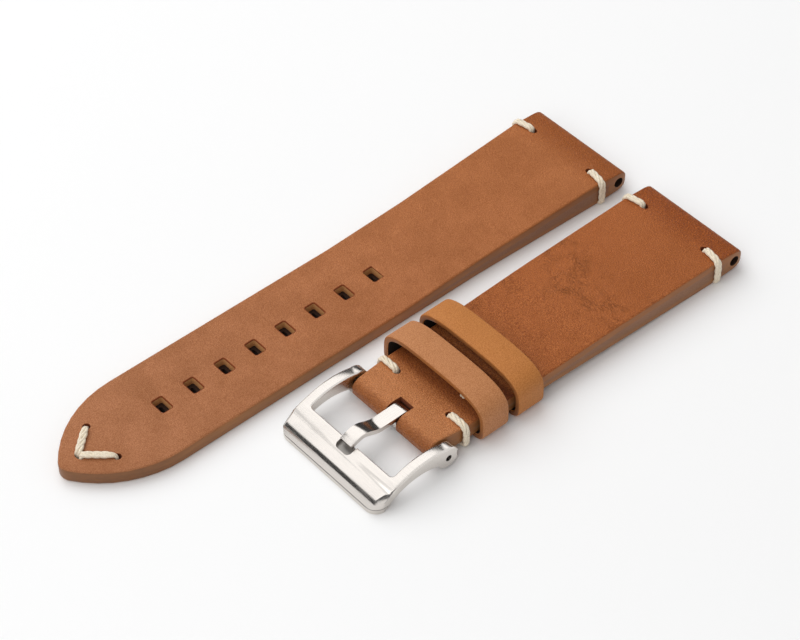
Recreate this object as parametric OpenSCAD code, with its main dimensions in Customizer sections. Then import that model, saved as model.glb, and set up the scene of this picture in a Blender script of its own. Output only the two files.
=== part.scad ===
// Two-piece leather watch strap with a pin buckle, laid flat on a table.
// X runs along the strap away from the watch, Y across it, Z up from the table.
// The origin is the middle of the buckle half's lug bore.

/* [Leather] */
// Width of the strap at the watch's lugs
lug_w = 22; // [18:0.5:24]
// Width of the tail and of the inside of the buckle
buckle_w = 20; // [16:0.5:22]
// Thickness of the strap at the lugs
lug_t = 4.8; // [4.4:0.1:5.4]
// Thickness of the outer leather
cover_t = 1.5; // [1.2:0.05:1.7]
// Thickness of the lining leather
lining_t = 1.2; // [0.9:0.05:1.4]
// Length of the cover's flap that is turned under at the lugs
lug_flap_len = 9; // [7:0.5:12]
// Radius of the corners of the lug ends, seen from above
lug_corner_r = 0.8; // [0.2:0.1:1.5]

/* [Lug bores] */
// Diameter of the bore for the watch's spring bar
bore_d = 2.0; // [1.8:0.05:2.2]
// Height of the bore's axis over the strap's underside
bore_h = 2.3; // [2.2:0.05:2.5]
// Leather left round the bore
bore_wall = 1.1; // [0.9:0.05:1.2]

/* [Tail half] */
// Length of the tail half, from its nose to its tip
tail_len = 115.5; // [110:0.5:125]
// Length over which the tail half narrows from the lugs
tail_narrow_len = 33; // [20:1:42]
// Length over which the tail half gets thin from the lugs
tail_thin_len = 50; // [40:1:60]
// Radius of the pointed tip's two long curves
tip_curve_r = 20; // [16:0.5:24]
// Radius of the tip's end
tip_end_r = 2.5; // [1.5:0.1:4]
// Number of holes for the tongue
hole_count = 8; // [5:1:9]
// Distance between the holes
hole_pitch = 6.45; // [5.5:0.05:7]
// Distance from the last hole to the tip
hole_inset = 20.2; // [18:0.1:24]
// Length of a hole along the strap
hole_len = 2.0; // [1.6:0.1:2.6]
// Width of a hole across the strap
hole_w = 3.1; // [2.9:0.1:3.6]

/* [Buckle half] */
// Length from the lug bore to the buckle's spring bar
buckle_half_len = 66.8; // [64:0.1:80]
// Thickness of the strap under the fixed keeper
keeper_zone_t = 3.2; // [3:0.05:3.4]
// Width of the strap just behind the fold
neck_w = 20.2; // [15.5:0.1:20.6]
// Width of the fold round the spring bar
fold_w = 19; // [15:0.1:19.4]
// Thickness of the leather in the fold round the spring bar
fold_t = 1.1; // [0.9:0.05:1.3]
// Width of the slot for the tongue
slot_w = 3.2; // [3:0.1:4]
// Distance from the spring bar's axis to the slot's closed end
slot_back = 1.8; // [1.6:0.05:2.1]

/* [Keepers] */
// Width of a keeper along the strap
keeper_w = 5.6; // [4.5:0.1:7]
// Thickness of a keeper's leather
keeper_t = 1.1; // [0.9:0.05:1.3]
// Free room beside the strap in a keeper, on each side, where the strap is widest
keeper_side_room = 0.65; // [0.5:0.05:1]
// Free height left in a keeper when the tail is in it
keeper_play = 0.2; // [0.1:0.05:0.5]
// Extra height in the middle of the keeper's arch
keeper_crown = 0.3; // [0.1:0.05:0.6]
// Squareness of the keeper's arch, 2 for an ellipse
keeper_arch_power = 3.4; // [3:0.1:5]
// Distance that the floating keeper can slide towards the lugs
keeper_travel = 16; // [10:1:17]
// Distance that the keepers stand to the side of the strap's middle
keeper_shift = 0.3; // [0:0.05:0.4]
// Distance from the spring bar's axis to the middle of the fixed keeper
fixed_keeper_back = 10.3; // [9.9:0.1:12]
// Gap between the two keepers
keepers_gap = 2.2; // [1.5:0.1:3.5]

/* [Buckle] */
// Distance from the spring bar's axis to the front bar's inner edge
window_len = 10.2; // [9.6:0.1:11]
// Distance from the spring bar's axis to the buckle's front edge
front_reach = 15.6; // [15:0.1:16]
// Width of each side arm
arm_w = 2.0; // [1.6:0.1:2.4]
// Height of the spring bar's axis over the table
bar_h = 2.6; // [2.5:0.05:2.8]
// Radius of the rounded ears
ear_r = 2.15; // [2:0.05:2.3]
// Radius of the buckle's arched top
arch_top_r = 14; // [13.5:0.1:14.5]
// Radius of the hollow under the arms
arch_under_r = 10; // [9.6:0.1:10.2]
// Radius of the buckle's outer front corners
front_corner_r = 2.2; // [1:0.1:3]
// Height of the thin lip along the front
lip_h = 0.8; // [0.5:0.05:1]

/* [Tongue] */
// Width of the tongue
tongue_w = 2.6; // [2.2:0.1:2.7]
// Thickness of the tongue's strip
tongue_t = 0.9; // [0.8:0.05:1]

/* [Spring bar] */
// Outer diameter of the spring bar's tube
tube_d = 1.8; // [1.7:0.05:1.8]
// Wall of the spring bar's tube
tube_wall = 0.25; // [0.2:0.05:0.3]
// Diameter of the pins at the spring bar's ends
pin_d = 1.05; // [0.9:0.05:1.1]
// Distance that each pin can be pressed in
pin_travel = 1.25; // [1.15:0.05:1.3]
// Diameter of the spring's wire
wire_d = 0.2; // [0.15:0.01:0.22]
// Number of turns of the spring
spring_turns = 12; // [6:1:16]

/* [Thread] */
// Width of the flattened thread
thread_w = 1.2; // [0.8:0.1:1.4]
// Thickness of the flattened thread
thread_t = 0.8; // [0.5:0.05:0.9]
// Distance from the lug bore to the lug stitches
lug_stitch_x = 3.8; // [3.4:0.1:6]
// Distance from the strap's edge to the holes of the edge stitches
stitch_inset = 3.45; // [3:0.05:4.5]
// Distance from the spring bar's axis to the stitches behind the fold
fold_stitch_back = 5.1; // [4.9:0.1:5.4]
// Length of one leg of the V stitched on the tip
tip_stitch_len = 5.8; // [4:0.1:7]
// Distance from the tip to the point of the V
tip_stitch_inset = 3.3; // [3:0.1:5]

/* [Layout] */
// Gap between the two halves at the lugs
halves_gap = 5.25; // [4:0.25:12]
// Distance that the tail half lies further along the table
tail_shift = 0.9; // [0:0.1:5]

/* [Hidden] */

$fn = 96;
// Height and reach of a cutting block that has to pass right through
through = 60;

// Lug ends
nose_r = bore_d / 2 + bore_wall;
nose_top = bore_h + nose_r;
nose_bottom = bore_h - nose_r;
shoulder_x = 5;
heel_x = 4;
filler_start = nose_r + 0.3;

// Thread holes and grooves
thread_hole_r = max(thread_w, thread_t) / 2 + 0.05;
thread_seat = thread_t / 2 + 0.03;
thread_bend_r = thread_t / 2 + 0.1;
stitch_slant = 10;

// Tail half
tail_t = cover_t + lining_t;
tail_end = tail_len - nose_r;
tail_half_w = buckle_w / 2;
tip_centre_x = tail_end - tip_end_r;
tip_curve_x = tip_centre_x - sqrt(pow(tip_curve_r - tip_end_r, 2) - pow(tip_curve_r - tail_half_w, 2));
tip_meet_angle = atan2(tip_centre_x - tip_curve_x, tip_curve_r - tail_half_w);
tip_point_x = tail_end - tip_stitch_inset;
tip_leg_angle = 35;
tip_point_y = thread_hole_r + 0.12;
last_hole_x = tail_end - hole_inset;
halves_pitch = lug_w + halves_gap;

// Buckle half, from the lugs to the spring bar
bar_x = buckle_half_len;
bar_bore_r = tube_d / 2 + 0.1;
fold_r = bar_bore_r + fold_t;
keeper_slack = 0.15;
strap_under = keeper_t + keeper_slack;
keeper_zone_top = strap_under + keeper_zone_t;
fixed_keeper_x = bar_x - fixed_keeper_back;
floating_keeper_x = fixed_keeper_x - keeper_w - keepers_gap;
flap_start = fixed_keeper_x - keeper_w / 2 - 1.4;
rise_end = floating_keeper_x - keeper_w / 2 - 1;
rise_start = 8;
top_drop_start = rise_end - 14;
fold_neck_x = bar_x - 5.5;
pocket_end = bar_x - 7;
fold_stitch_x = bar_x - fold_stitch_back;

// Keepers
keeper_inner_half_w =
    buckle_half_edge(floating_keeper_x - keeper_w / 2 - keeper_travel) + keeper_side_room;
keeper_inner_h = keeper_zone_t + tail_t + keeper_play + keeper_crown;
keeper_outer_h = keeper_inner_h + 2 * keeper_t;
keeper_arch_start = 3;
keeper_outer_corner_r = 2.5;
keeper_inner_corner_r = 0.5;
anchor_y = 4.9;
anchor_len = 1.7;
anchor_x = fixed_keeper_x;

// Buckle
frame_w = buckle_w + 2 * arm_w;
ear_room = 0.075;
ear_hole_r = pin_d / 2 + ear_room;
arch_top_ahead = 4.2;
arch_top_drop = 11.3;
arch_under_ahead = 6.2;
arch_under_drop = 9.8;
arch_top_x = bar_x + arch_top_ahead;
arch_top_z = bar_h - arch_top_drop;
arch_under_x = bar_x + arch_under_ahead;
arch_under_z = bar_h - arch_under_drop;
window_x = bar_x + window_len;
front_x = bar_x + front_reach;
window_corner_r = 0.6;
window_cut_back = 20;
frame_cut_back = 10;
front_lip_len = 2;
front_lip_chamfer = 0.2;
notch_len = 1.9;
notch_room = 0.4;
notch_w = tongue_w + 2 * notch_room;
notch_tilt = 27;
notch_depth = 0.45;
notch_back = 3;
notch_cut_h = 6;
notch_corner_r = 0.6;
window_edge_z = arch_top_z + sqrt(pow(arch_top_r, 2) - pow(window_x - arch_top_x, 2));

// Tongue, as a middle line from the spring bar to the tip
eye_room = 0.05;
eye_r = tube_d / 2 + eye_room;
eye_slit_start = 0.5;
eye_slit_len = 2;
eye_slit_h = 0.45;
tongue_guide_len = 1;
tongue_flat_len = 4.3;
tongue_flat_dip = 0.05;
tongue_bend_len = 5.8;
tongue_bend_rise = 0.2;
tongue_slope_len = 7.6;
tongue_slope_rise = 0.95;
tongue_crest_len = 8.9;
tongue_crest_rise = 1.1;
tongue_over_edge = 0.75;
tongue_fall_len = 0.8;
tongue_fall_h = 0.25;
tongue_tip_len = 1.3;
tongue_tip_drop = 0.2;
tongue_end_len = 1.8;
tongue_end_drop = 0.7;
tongue_mid_h = bar_h + eye_r + tongue_t / 2;
tongue_line = [
    [bar_x - tongue_guide_len, tongue_mid_h], [bar_x, tongue_mid_h],
    [bar_x + tongue_flat_len, tongue_mid_h - tongue_flat_dip],
    [bar_x + tongue_bend_len, tongue_mid_h + tongue_bend_rise],
    [bar_x + tongue_slope_len, tongue_mid_h + tongue_slope_rise],
    [bar_x + tongue_crest_len, tongue_mid_h + tongue_crest_rise],
    [window_x, window_edge_z + tongue_over_edge],
    [window_x + tongue_fall_len, window_edge_z + tongue_fall_h],
    [window_x + tongue_tip_len, window_edge_z - tongue_tip_drop],
    [window_x + tongue_end_len, window_edge_z - tongue_end_drop]
];

// Spring bar
tube_r = tube_d / 2;
tube_in_r = tube_r - tube_wall;
tube_len = buckle_w - 4;
lip_len = 0.3;
neck_r = tube_in_r - 0.2;
lip_r = neck_r + 0.05;
head_r = tube_in_r - 0.05;
head_len = 1.2;
flange_r = tube_r - 0.02;
flange_len = 0.4;
flange_y = tube_len / 2 + pin_travel + 0.05;
pin_len = 1.4;
head_y = tube_len / 2 - lip_len - 0.05;
spring_len = 2 * (head_y - head_len) - 0.1;
coil_r = head_r - wire_d / 2 - 0.02;
coil_rings = 8;
coil_sides = 6;

// Colours
saddle_brown = [0.65, 0.40, 0.25];
tan_brown = [0.72, 0.48, 0.29];
lining_brown = [0.62, 0.44, 0.30];
board_brown = [0.45, 0.33, 0.25];
cream = [0.93, 0.88, 0.78];
steel = [0.80, 0.80, 0.79];
dark_steel = [0.62, 0.62, 0.61];

// Height on a straight slope between two points
function slope_at(x, a, b) = a[1] + (b[1] - a[1]) * (x - a[0]) / (b[0] - a[0]);

// Half the width of each half at a distance from its lug bore
function tail_edge(x) = x < tail_narrow_len
    ? slope_at(max(x, 0), [0, lug_w / 2], [tail_narrow_len, tail_half_w])
    : tail_half_w;
function buckle_half_edge(x) = x < fold_neck_x
    ? slope_at(max(x, 0), [0, lug_w / 2], [fold_neck_x, neck_w / 2])
    : slope_at(x, [fold_neck_x, neck_w / 2], [bar_x, fold_w / 2]);

// Points along an arc, angles in degrees
function arc_points(c, r, a, b, steps) =
    [for (i = [0 : steps]) let (t = a + (b - a) * i / steps) c + r * [cos(t), sin(t)]];

// Rounded rectangle between two corners
function round_box(low, high, r, steps = 6) = concat(
    arc_points([high[0] - r, high[1] - r], r, 0, 90, steps),
    arc_points([low[0] + r, high[1] - r], r, 90, 180, steps),
    arc_points([low[0] + r, low[1] + r], r, 180, 270, steps),
    arc_points([high[0] - r, low[1] + r], r, 270, 360, steps)
);

// Keeper's loop seen along the strap: a broad arch over a flat bottom with round corners
function bowed(v) = sign(v) * pow(abs(v), 2 / keeper_arch_power);
function keeper_ring(half, low, high, r) = concat(
    [for (i = [0 : 36])
        [half * bowed(cos(5 * i)), keeper_arch_start + (high - keeper_arch_start) * bowed(sin(5 * i))]],
    arc_points([r - half, low + r], r, 180, 270, 8),
    arc_points([half - r, low + r], r, 270, 360, 8)
);

// Smooth line through a list of points, leaving out the first and last one
function smooth_line(pts, steps) = [
    for (k = [1 : len(pts) - 3])
        for (i = [0 : (k == len(pts) - 3 ? steps : steps - 1)])
            let (t = i / steps, a = pts[k - 1], b = pts[k], c = pts[k + 1], d = pts[k + 2])
            0.5 * (2 * b + (c - a) * t + (2 * a - 5 * b + 4 * c - d) * t * t
                + (3 * b - a - 3 * c + d) * t * t * t)
];
function unit(v) = v / norm(v);
function heading(line, i) = unit(line[min(i + 1, len(line) - 1)] - line[max(i - 1, 0)]);
function beside(line, off) = [
    for (i = [0 : len(line) - 1]) let (t = heading(line, i)) line[i] + off * [-t[1], t[0]]
];

// Each half has its own place on the table
module on_table() {
    translate([0, 0, -bore_h]) children();
}
module on_tail_place() {
    translate([tail_shift, -halves_pitch, -bore_h]) children();
}

// Solid with a side outline and a plan outline
module carve(reach) {
    intersection() {
        rotate([90, 0, 0])
            linear_extrude(height = reach, center = true) children(0);
        translate([0, 0, -through / 2])
            linear_extrude(height = through) children(1);
    }
}

// Plan outlines
module tail_plan() {
    upper = concat(
        arc_points([lug_corner_r - nose_r, lug_w / 2 - lug_corner_r], lug_corner_r, 180, 90, 5),
        [[0, lug_w / 2], [tail_narrow_len, tail_half_w]],
        arc_points([tip_curve_x, tail_half_w - tip_curve_r], tip_curve_r, 90, 90 - tip_meet_angle, 16),
        arc_points([tip_centre_x, 0], tip_end_r, 90 - tip_meet_angle, 0, 6)
    );
    last = len(upper) - 1;
    polygon(concat(upper, [for (i = [1 : last]) [upper[last - i][0], -upper[last - i][1]]]));
}
module buckle_half_plan() {
    upper = concat(
        arc_points([lug_corner_r - nose_r, lug_w / 2 - lug_corner_r], lug_corner_r, 180, 90, 5),
        [[0, lug_w / 2], [fold_neck_x, neck_w / 2], [bar_x, fold_w / 2],
         [bar_x + fold_r + 1, fold_w / 2]]
    );
    last = len(upper) - 1;
    polygon(concat(upper, [for (i = [0 : last]) [upper[last - i][0], -upper[last - i][1]]]));
}

// Side outlines of the tail half
module tail_side() {
    translate([0, bore_h]) circle(r = nose_r);
    polygon([
        [0, nose_bottom], [heel_x, 0], [tail_end + 1, 0], [tail_end + 1, tail_t],
        [tail_thin_len, tail_t], [shoulder_x, lug_t], [0, nose_top]
    ]);
}
module tail_filler_side() {
    polygon([
        [filler_start, lining_t], [tail_thin_len, lining_t], [shoulder_x, lug_t - cover_t],
        [filler_start, slope_at(filler_start, [0, nose_top], [shoulder_x, lug_t]) - cover_t]
    ]);
}
module tail_lining_side() {
    polygon([
        [lug_flap_len, -1], [tail_end + 2, -1], [tail_end + 2, lining_t], [lug_flap_len, lining_t]
    ]);
}

// Underside and top of the buckle half
function buckle_half_under() = [
    [0, nose_bottom], [heel_x, 0], [rise_start, 0], [rise_end, strap_under],
    [fold_neck_x, strap_under], [bar_x, bar_h - fold_r]
];
function buckle_half_top() = [
    [bar_x, bar_h + fold_r], [fold_neck_x, keeper_zone_top], [rise_end, keeper_zone_top],
    [top_drop_start, lug_t],
    [shoulder_x, lug_t], [0, nose_top]
];
module buckle_half_side() {
    translate([0, bore_h]) circle(r = nose_r);
    translate([bar_x, bar_h]) circle(r = fold_r);
    polygon(concat(buckle_half_under(), buckle_half_top()));
}
module buckle_half_lining_side() {
    polygon([
        [lug_flap_len, -1], [flap_start, -1], [flap_start, strap_under + lining_t],
        [rise_end, strap_under + lining_t], [max(lug_flap_len, rise_start), lining_top_start()],
        [lug_flap_len, lining_top_start()]
    ]);
}
function lining_top_start() =
    slope_at(max(lug_flap_len, rise_start), [rise_start, 0], [rise_end, strap_under]) + lining_t;
module buckle_half_filler_side() {
    polygon([
        [filler_start, lining_t], [rise_start, lining_t],
        [rise_end, strap_under + lining_t], [pocket_end, strap_under + lining_t],
        [pocket_end, keeper_zone_top - cover_t], [rise_end, keeper_zone_top - cover_t],
        [top_drop_start, lug_t - cover_t], [shoulder_x, lug_t - cover_t],
        [filler_start, slope_at(filler_start, [0, nose_top], [shoulder_x, lug_t]) - cover_t]
    ]);
}

// Holes right through the leather for a stitch
module thread_hole(x, y) {
    translate([x, y, -1]) cylinder(r = thread_hole_r, h = lug_t + 3);
}

// Thread wound round in an upright plane, from a hole at the start to a hole or an edge at the end
module thread_loop(reach, low, high) {
    path = round_box([0, low], [reach, high], thread_bend_r, 4);
    rings = len(path);
    sides = 8;
    points = [
        for (i = [0 : rings - 1])
            let (
                before = path[(i + rings - 1) % rings],
                after = path[(i + 1) % rings],
                t = unit(after - before),
                n = [t[1], -t[0]]
            )
            for (k = [0 : sides - 1])
                let (a = 360 * k / sides, out = thread_t / 2 * cos(a))
                [path[i][0] + n[0] * out, thread_w / 2 * sin(a), path[i][1] + n[1] * out]
    ];
    faces = [
        for (i = [0 : rings - 1])
            for (k = [0 : sides - 1])
                let (j = (i + 1) % rings, m = (k + 1) % sides)
                each [
                    [i * sides + k, j * sides + m, i * sides + m],
                    [i * sides + k, j * sides + k, j * sides + m]
                ]
    ];
    polyhedron(points = points, faces = faces, convexity = 4);
}

// Stitches at the lugs, round one edge of the strap; side is 1 for the near edge, -1 for the far one
function lug_stitch_y() = lug_w / 2 - stitch_inset;
function lug_stitch_reach() =
    (tail_edge(lug_stitch_x) - lug_stitch_y() + thread_seat + 0.05) / cos(stitch_slant);
module lug_stitch(side) {
    color(cream)
        translate([lug_stitch_x, side * lug_stitch_y(), 0])
            rotate([0, 0, side * (90 - stitch_slant)])
                thread_loop(lug_stitch_reach(), thread_seat + 0.02, lug_t + thread_seat);
}
module lug_stitch_cuts() {
    for (side = [-1, 1]) {
        thread_hole(lug_stitch_x, side * lug_stitch_y());
        translate([lug_stitch_x, side * lug_stitch_y(), 0])
            rotate([0, 0, side * (90 - stitch_slant)])
                thread_groove(lug_stitch_reach() + 3);
    }
}
// Groove that sinks the thread's lower run into the underside
module thread_groove(len) {
    translate([0, -thread_hole_r, -1])
        cube([len, 2 * thread_hole_r, 1 + thread_t + 0.1]);
}

// Legs of the V on the tip
module at_tip_leg(side) {
    translate([tip_point_x, side * tip_point_y, 0])
        rotate([0, 0, side * (180 - tip_leg_angle)]) children();
}
module tip_stitch(side) {
    color(cream)
        at_tip_leg(side)
            thread_loop(tip_stitch_len, thread_seat + 0.02, tail_t + thread_seat);
}
module tip_stitch_cuts() {
    for (side = [-1, 1])
        at_tip_leg(side) {
            thread_hole(0, 0);
            thread_hole(tip_stitch_len, 0);
            thread_groove(tip_stitch_len);
        }
}

// Stitches behind the fold
function fold_stitch_y() = buckle_half_edge(fold_stitch_x) - stitch_inset;
function fold_stitch_end() = fold_stitch_x + thread_w / 2;
function fold_stitch_under() =
    slope_at(fold_stitch_end(), [fold_neck_x, strap_under], [bar_x, bar_h - fold_r]);
function fold_stitch_over() =
    slope_at(fold_stitch_end(), [fold_neck_x, keeper_zone_top], [bar_x, bar_h + fold_r]);
module fold_stitch(side) {
    color(cream)
        translate([fold_stitch_x, side * fold_stitch_y(), 0])
            rotate([0, 0, side * 90])
                thread_loop(
                    stitch_inset + thread_seat + 0.05,
                    fold_stitch_under() - thread_seat, fold_stitch_over() + thread_seat
                );
}

// Short stitches that hold the fixed keeper to the strap
module anchor_places() {
    for (side = [-1, 1])
        translate([anchor_x - anchor_len / 2, side * anchor_y, 0]) children();
}
module anchor_cuts() {
    anchor_places() {
        thread_hole(0, 0);
        thread_hole(anchor_len, 0);
    }
}

// Tail half
module tail_holes() {
    for (i = [0 : hole_count - 1])
        translate([last_hole_x - i * hole_pitch, 0, -1])
            linear_extrude(height = lug_t + 2)
                polygon(round_box([-hole_len / 2, -hole_w / 2], [hole_len / 2, hole_w / 2], 0.3, 3));
}
module lug_bore() {
    translate([0, 0, bore_h])
        rotate([90, 0, 0]) cylinder(d = bore_d, h = lug_w + 4, center = true);
}
module tail_cuts() {
    lug_stitch_cuts();
    tip_stitch_cuts();
    tail_holes();
}
module tail_cover() {
    color(saddle_brown)
        on_tail_place()
            difference() {
                carve(lug_w + 4) {
                    difference() {
                        tail_side();
                        tail_filler_side();
                        tail_lining_side();
                    }
                    tail_plan();
                }
                lug_bore();
                tail_cuts();
            }
}
module tail_filler() {
    color(board_brown)
        on_tail_place()
            difference() {
                carve(lug_w + 4) {
                    tail_filler_side();
                    tail_plan();
                }
                tail_cuts();
            }
}
module tail_lining() {
    color(lining_brown)
        on_tail_place()
            difference() {
                carve(lug_w + 4) {
                    intersection() {
                        tail_side();
                        tail_lining_side();
                    }
                    tail_plan();
                }
                tail_cuts();
            }
}
module tail_lug_stitch_near() {
    on_tail_place() lug_stitch(1);
}
module tail_lug_stitch_far() {
    on_tail_place() lug_stitch(-1);
}
module tip_stitch_near() {
    on_tail_place() tip_stitch(1);
}
module tip_stitch_far() {
    on_tail_place() tip_stitch(-1);
}

// Buckle half
module bar_axis() {
    translate([bar_x, 0, bar_h]) rotate([-90, 0, 0]) children();
}
module tongue_slot() {
    translate([bar_x - slot_back, -slot_w / 2, -1]) cube([fold_r + slot_back + 1, slot_w, lug_t + 3]);
    bar_axis() cylinder(r = eye_r + tongue_t + 0.2, h = slot_w, center = true);
}
module fold_stitch_cuts() {
    for (side = [-1, 1])
        thread_hole(fold_stitch_x, side * fold_stitch_y());
}
module buckle_half_cuts() {
    lug_stitch_cuts();
    fold_stitch_cuts();
    anchor_cuts();
}
module buckle_half_cover() {
    color(saddle_brown)
        on_table()
            difference() {
                carve(lug_w + 4) {
                    difference() {
                        buckle_half_side();
                        buckle_half_filler_side();
                        buckle_half_lining_side();
                    }
                    buckle_half_plan();
                }
                lug_bore();
                bar_axis() cylinder(r = bar_bore_r, h = through, center = true);
                tongue_slot();
                buckle_half_cuts();
            }
}
module buckle_half_filler() {
    color(board_brown)
        on_table()
            difference() {
                carve(lug_w + 4) {
                    buckle_half_filler_side();
                    buckle_half_plan();
                }
                buckle_half_cuts();
            }
}
module buckle_half_lining() {
    color(lining_brown)
        on_table()
            difference() {
                carve(lug_w + 4) {
                    intersection() {
                        buckle_half_side();
                        buckle_half_lining_side();
                    }
                    buckle_half_plan();
                }
                buckle_half_cuts();
            }
}
module buckle_half_lug_stitch_near() {
    on_table() lug_stitch(1);
}
module buckle_half_lug_stitch_far() {
    on_table() lug_stitch(-1);
}
module fold_stitch_near() {
    on_table() fold_stitch(1);
}
module fold_stitch_far() {
    on_table() fold_stitch(-1);
}

// Keepers
module keeper(x) {
    translate([x + keeper_w / 2, -keeper_shift, 0])
        rotate([90, 0, -90])
            linear_extrude(height = keeper_w)
                difference() {
                    polygon(keeper_ring(
                        keeper_inner_half_w + keeper_t, 0, keeper_outer_h, keeper_outer_corner_r
                    ));
                    polygon(keeper_ring(
                        keeper_inner_half_w, keeper_t, keeper_outer_h - keeper_t,
                        keeper_inner_corner_r
                    ));
                }
}
module fixed_keeper() {
    color(tan_brown)
        on_table()
            translate([0, 0, keeper_slack])
                difference() {
                    keeper(fixed_keeper_x);
                    anchor_places() {
                        translate([0, 0, -1]) cylinder(r = thread_hole_r, h = keeper_t + 2);
                        translate([anchor_len, 0, -1]) cylinder(r = thread_hole_r, h = keeper_t + 2);
                        thread_groove(anchor_len);
                    }
                }
}
module keeper_anchor_stitches() {
    color(cream)
        on_table()
            anchor_places()
                thread_loop(anchor_len, keeper_slack + thread_seat + 0.02, keeper_zone_top + thread_seat);
}
module floating_keeper() {
    color(tan_brown)
        on_table() keeper(floating_keeper_x);
}

// Buckle frame: two arched arms with ears, and the front bar
module frame_side() {
    intersection() {
        difference() {
            translate([arch_top_x, arch_top_z]) circle(r = arch_top_r);
            translate([arch_under_x, arch_under_z]) circle(r = arch_under_r);
        }
        translate([bar_x, 0]) square([front_reach, arch_top_r]);
    }
    translate([bar_x, bar_h]) circle(r = ear_r);
    polygon([
        [front_x - front_lip_len, 0], [front_x, 0], [front_x, lip_h - front_lip_chamfer],
        [front_x - front_lip_chamfer, lip_h], [front_x - front_lip_len, lip_h]
    ]);
}
module frame_plan() {
    difference() {
        polygon(round_box(
            [bar_x - frame_cut_back, -frame_w / 2], [front_x, frame_w / 2], front_corner_r, 10
        ));
        polygon(round_box(
            [bar_x - window_cut_back, -buckle_w / 2], [window_x, buckle_w / 2], window_corner_r, 5
        ));
    }
}
module buckle_frame() {
    color(steel)
        on_table()
            difference() {
                carve(frame_w + 2) {
                    frame_side();
                    frame_plan();
                }
                bar_axis() cylinder(r = ear_hole_r, h = through, center = true);
                translate([window_x, 0, window_edge_z - notch_depth])
                    rotate([0, notch_tilt, 0])
                        linear_extrude(height = notch_cut_h)
                            polygon(round_box(
                                [-notch_back, -notch_w / 2], [notch_len, notch_w / 2],
                                notch_corner_r, 5
                            ));
            }
}

// Tongue: an eye round the spring bar and a strip with a bend
module buckle_tongue() {
    line = smooth_line(tongue_line, 5);
    color(dark_steel)
        on_table()
            difference() {
                union() {
                    rotate([90, 0, 0])
                        linear_extrude(height = tongue_w, center = true)
                            polygon(concat(
                                beside(line, tongue_t / 2),
                                [for (i = [1 : len(line)]) beside(line, -tongue_t / 2)[len(line) - i]]
                            ));
                    bar_axis() cylinder(r = eye_r + tongue_t, h = tongue_w, center = true);
                }
                bar_axis() cylinder(r = eye_r, h = tongue_w + 1, center = true);
                translate([bar_x + eye_slit_start, -tongue_w, bar_h + eye_r - eye_slit_h])
                    cube([eye_slit_len, 2 * tongue_w, eye_slit_h]);
            }
}

// Spring bar: a tube with a spring and two sprung tips
module spring_bar_tube() {
    color(steel)
        on_table()
            bar_axis()
                difference() {
                    cylinder(r = tube_r, h = tube_len, center = true);
                    cylinder(r = lip_r, h = tube_len + 1, center = true);
                    cylinder(r = tube_in_r, h = tube_len - 2 * lip_len, center = true);
                }
}
module spring_bar_tip() {
    rotate_extrude()
        polygon([
            [0, head_y - head_len], [head_r, head_y - head_len], [head_r, head_y],
            [neck_r, head_y], [neck_r, flange_y], [flange_r, flange_y],
            [flange_r, flange_y + flange_len], [pin_d / 2, flange_y + flange_len],
            [pin_d / 2, flange_y + flange_len + pin_len - 0.15],
            [pin_d / 2 - 0.15, flange_y + flange_len + pin_len],
            [0, flange_y + flange_len + pin_len]
        ]);
}
module spring_bar_tip_near() {
    color(dark_steel)
        on_table() bar_axis() spring_bar_tip();
}
module spring_bar_tip_far() {
    color(dark_steel)
        on_table() bar_axis() rotate([180, 0, 0]) spring_bar_tip();
}
// Coil of round wire, wound as one tube
module spring_bar_spring() {
    rings = spring_turns * coil_rings;
    rise = (spring_len - wire_d) / rings;
    lean = atan2(rise * coil_rings, 2 * PI * coil_r);
    points = [
        for (i = [0 : rings])
            let (a = 360 * i / coil_rings)
            for (k = [0 : coil_sides - 1])
                let (
                    b = 360 * k / coil_sides,
                    out = coil_r + wire_d / 2 * cos(b),
                    across = -wire_d / 2 * sin(b) * sin(lean)
                )
                [
                    out * cos(a) - across * sin(a), out * sin(a) + across * cos(a),
                    i * rise + wire_d / 2 * sin(b) * cos(lean)
                ]
    ];
    last = rings * coil_sides;
    faces = concat(
        [for (k = [1 : coil_sides - 2]) [0, k + 1, k]],
        [for (i = [0 : rings - 1]) for (k = [0 : coil_sides - 1])
            let (j = i + 1, m = (k + 1) % coil_sides)
            each [
                [i * coil_sides + k, j * coil_sides + m, j * coil_sides + k],
                [i * coil_sides + k, i * coil_sides + m, j * coil_sides + m]
            ]],
        [for (k = [1 : coil_sides - 2]) [last, last + k, last + k + 1]]
    );
    color(dark_steel)
        on_table()
            bar_axis()
                translate([0, 0, wire_d / 2 - spring_len / 2])
                    polyhedron(points = points, faces = faces, convexity = 10);
}

tail_cover();
tail_filler();
tail_lining();
tail_lug_stitch_near();
tail_lug_stitch_far();
tip_stitch_near();
tip_stitch_far();
buckle_half_cover();
buckle_half_filler();
buckle_half_lining();
buckle_half_lug_stitch_near();
buckle_half_lug_stitch_far();
fold_stitch_near();
fold_stitch_far();
fixed_keeper();
keeper_anchor_stitches();
floating_keeper();
buckle_frame();
buckle_tongue();
spring_bar_tube();
spring_bar_spring();
spring_bar_tip_near();
spring_bar_tip_far();
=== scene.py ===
"""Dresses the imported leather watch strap: leather, thread and steel pieces, a pale stage, soft light and a camera.

It is laid out as an add-on and run as a script. Lengths in the code are millimetres, measured from the surface
that the strap lies on; x runs from a half's lug bore along the strap, and settle() puts the piece in its place.
"""

import math
from collections import namedtuple

import bmesh
import bpy
from mathutils import Matrix, Vector


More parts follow.
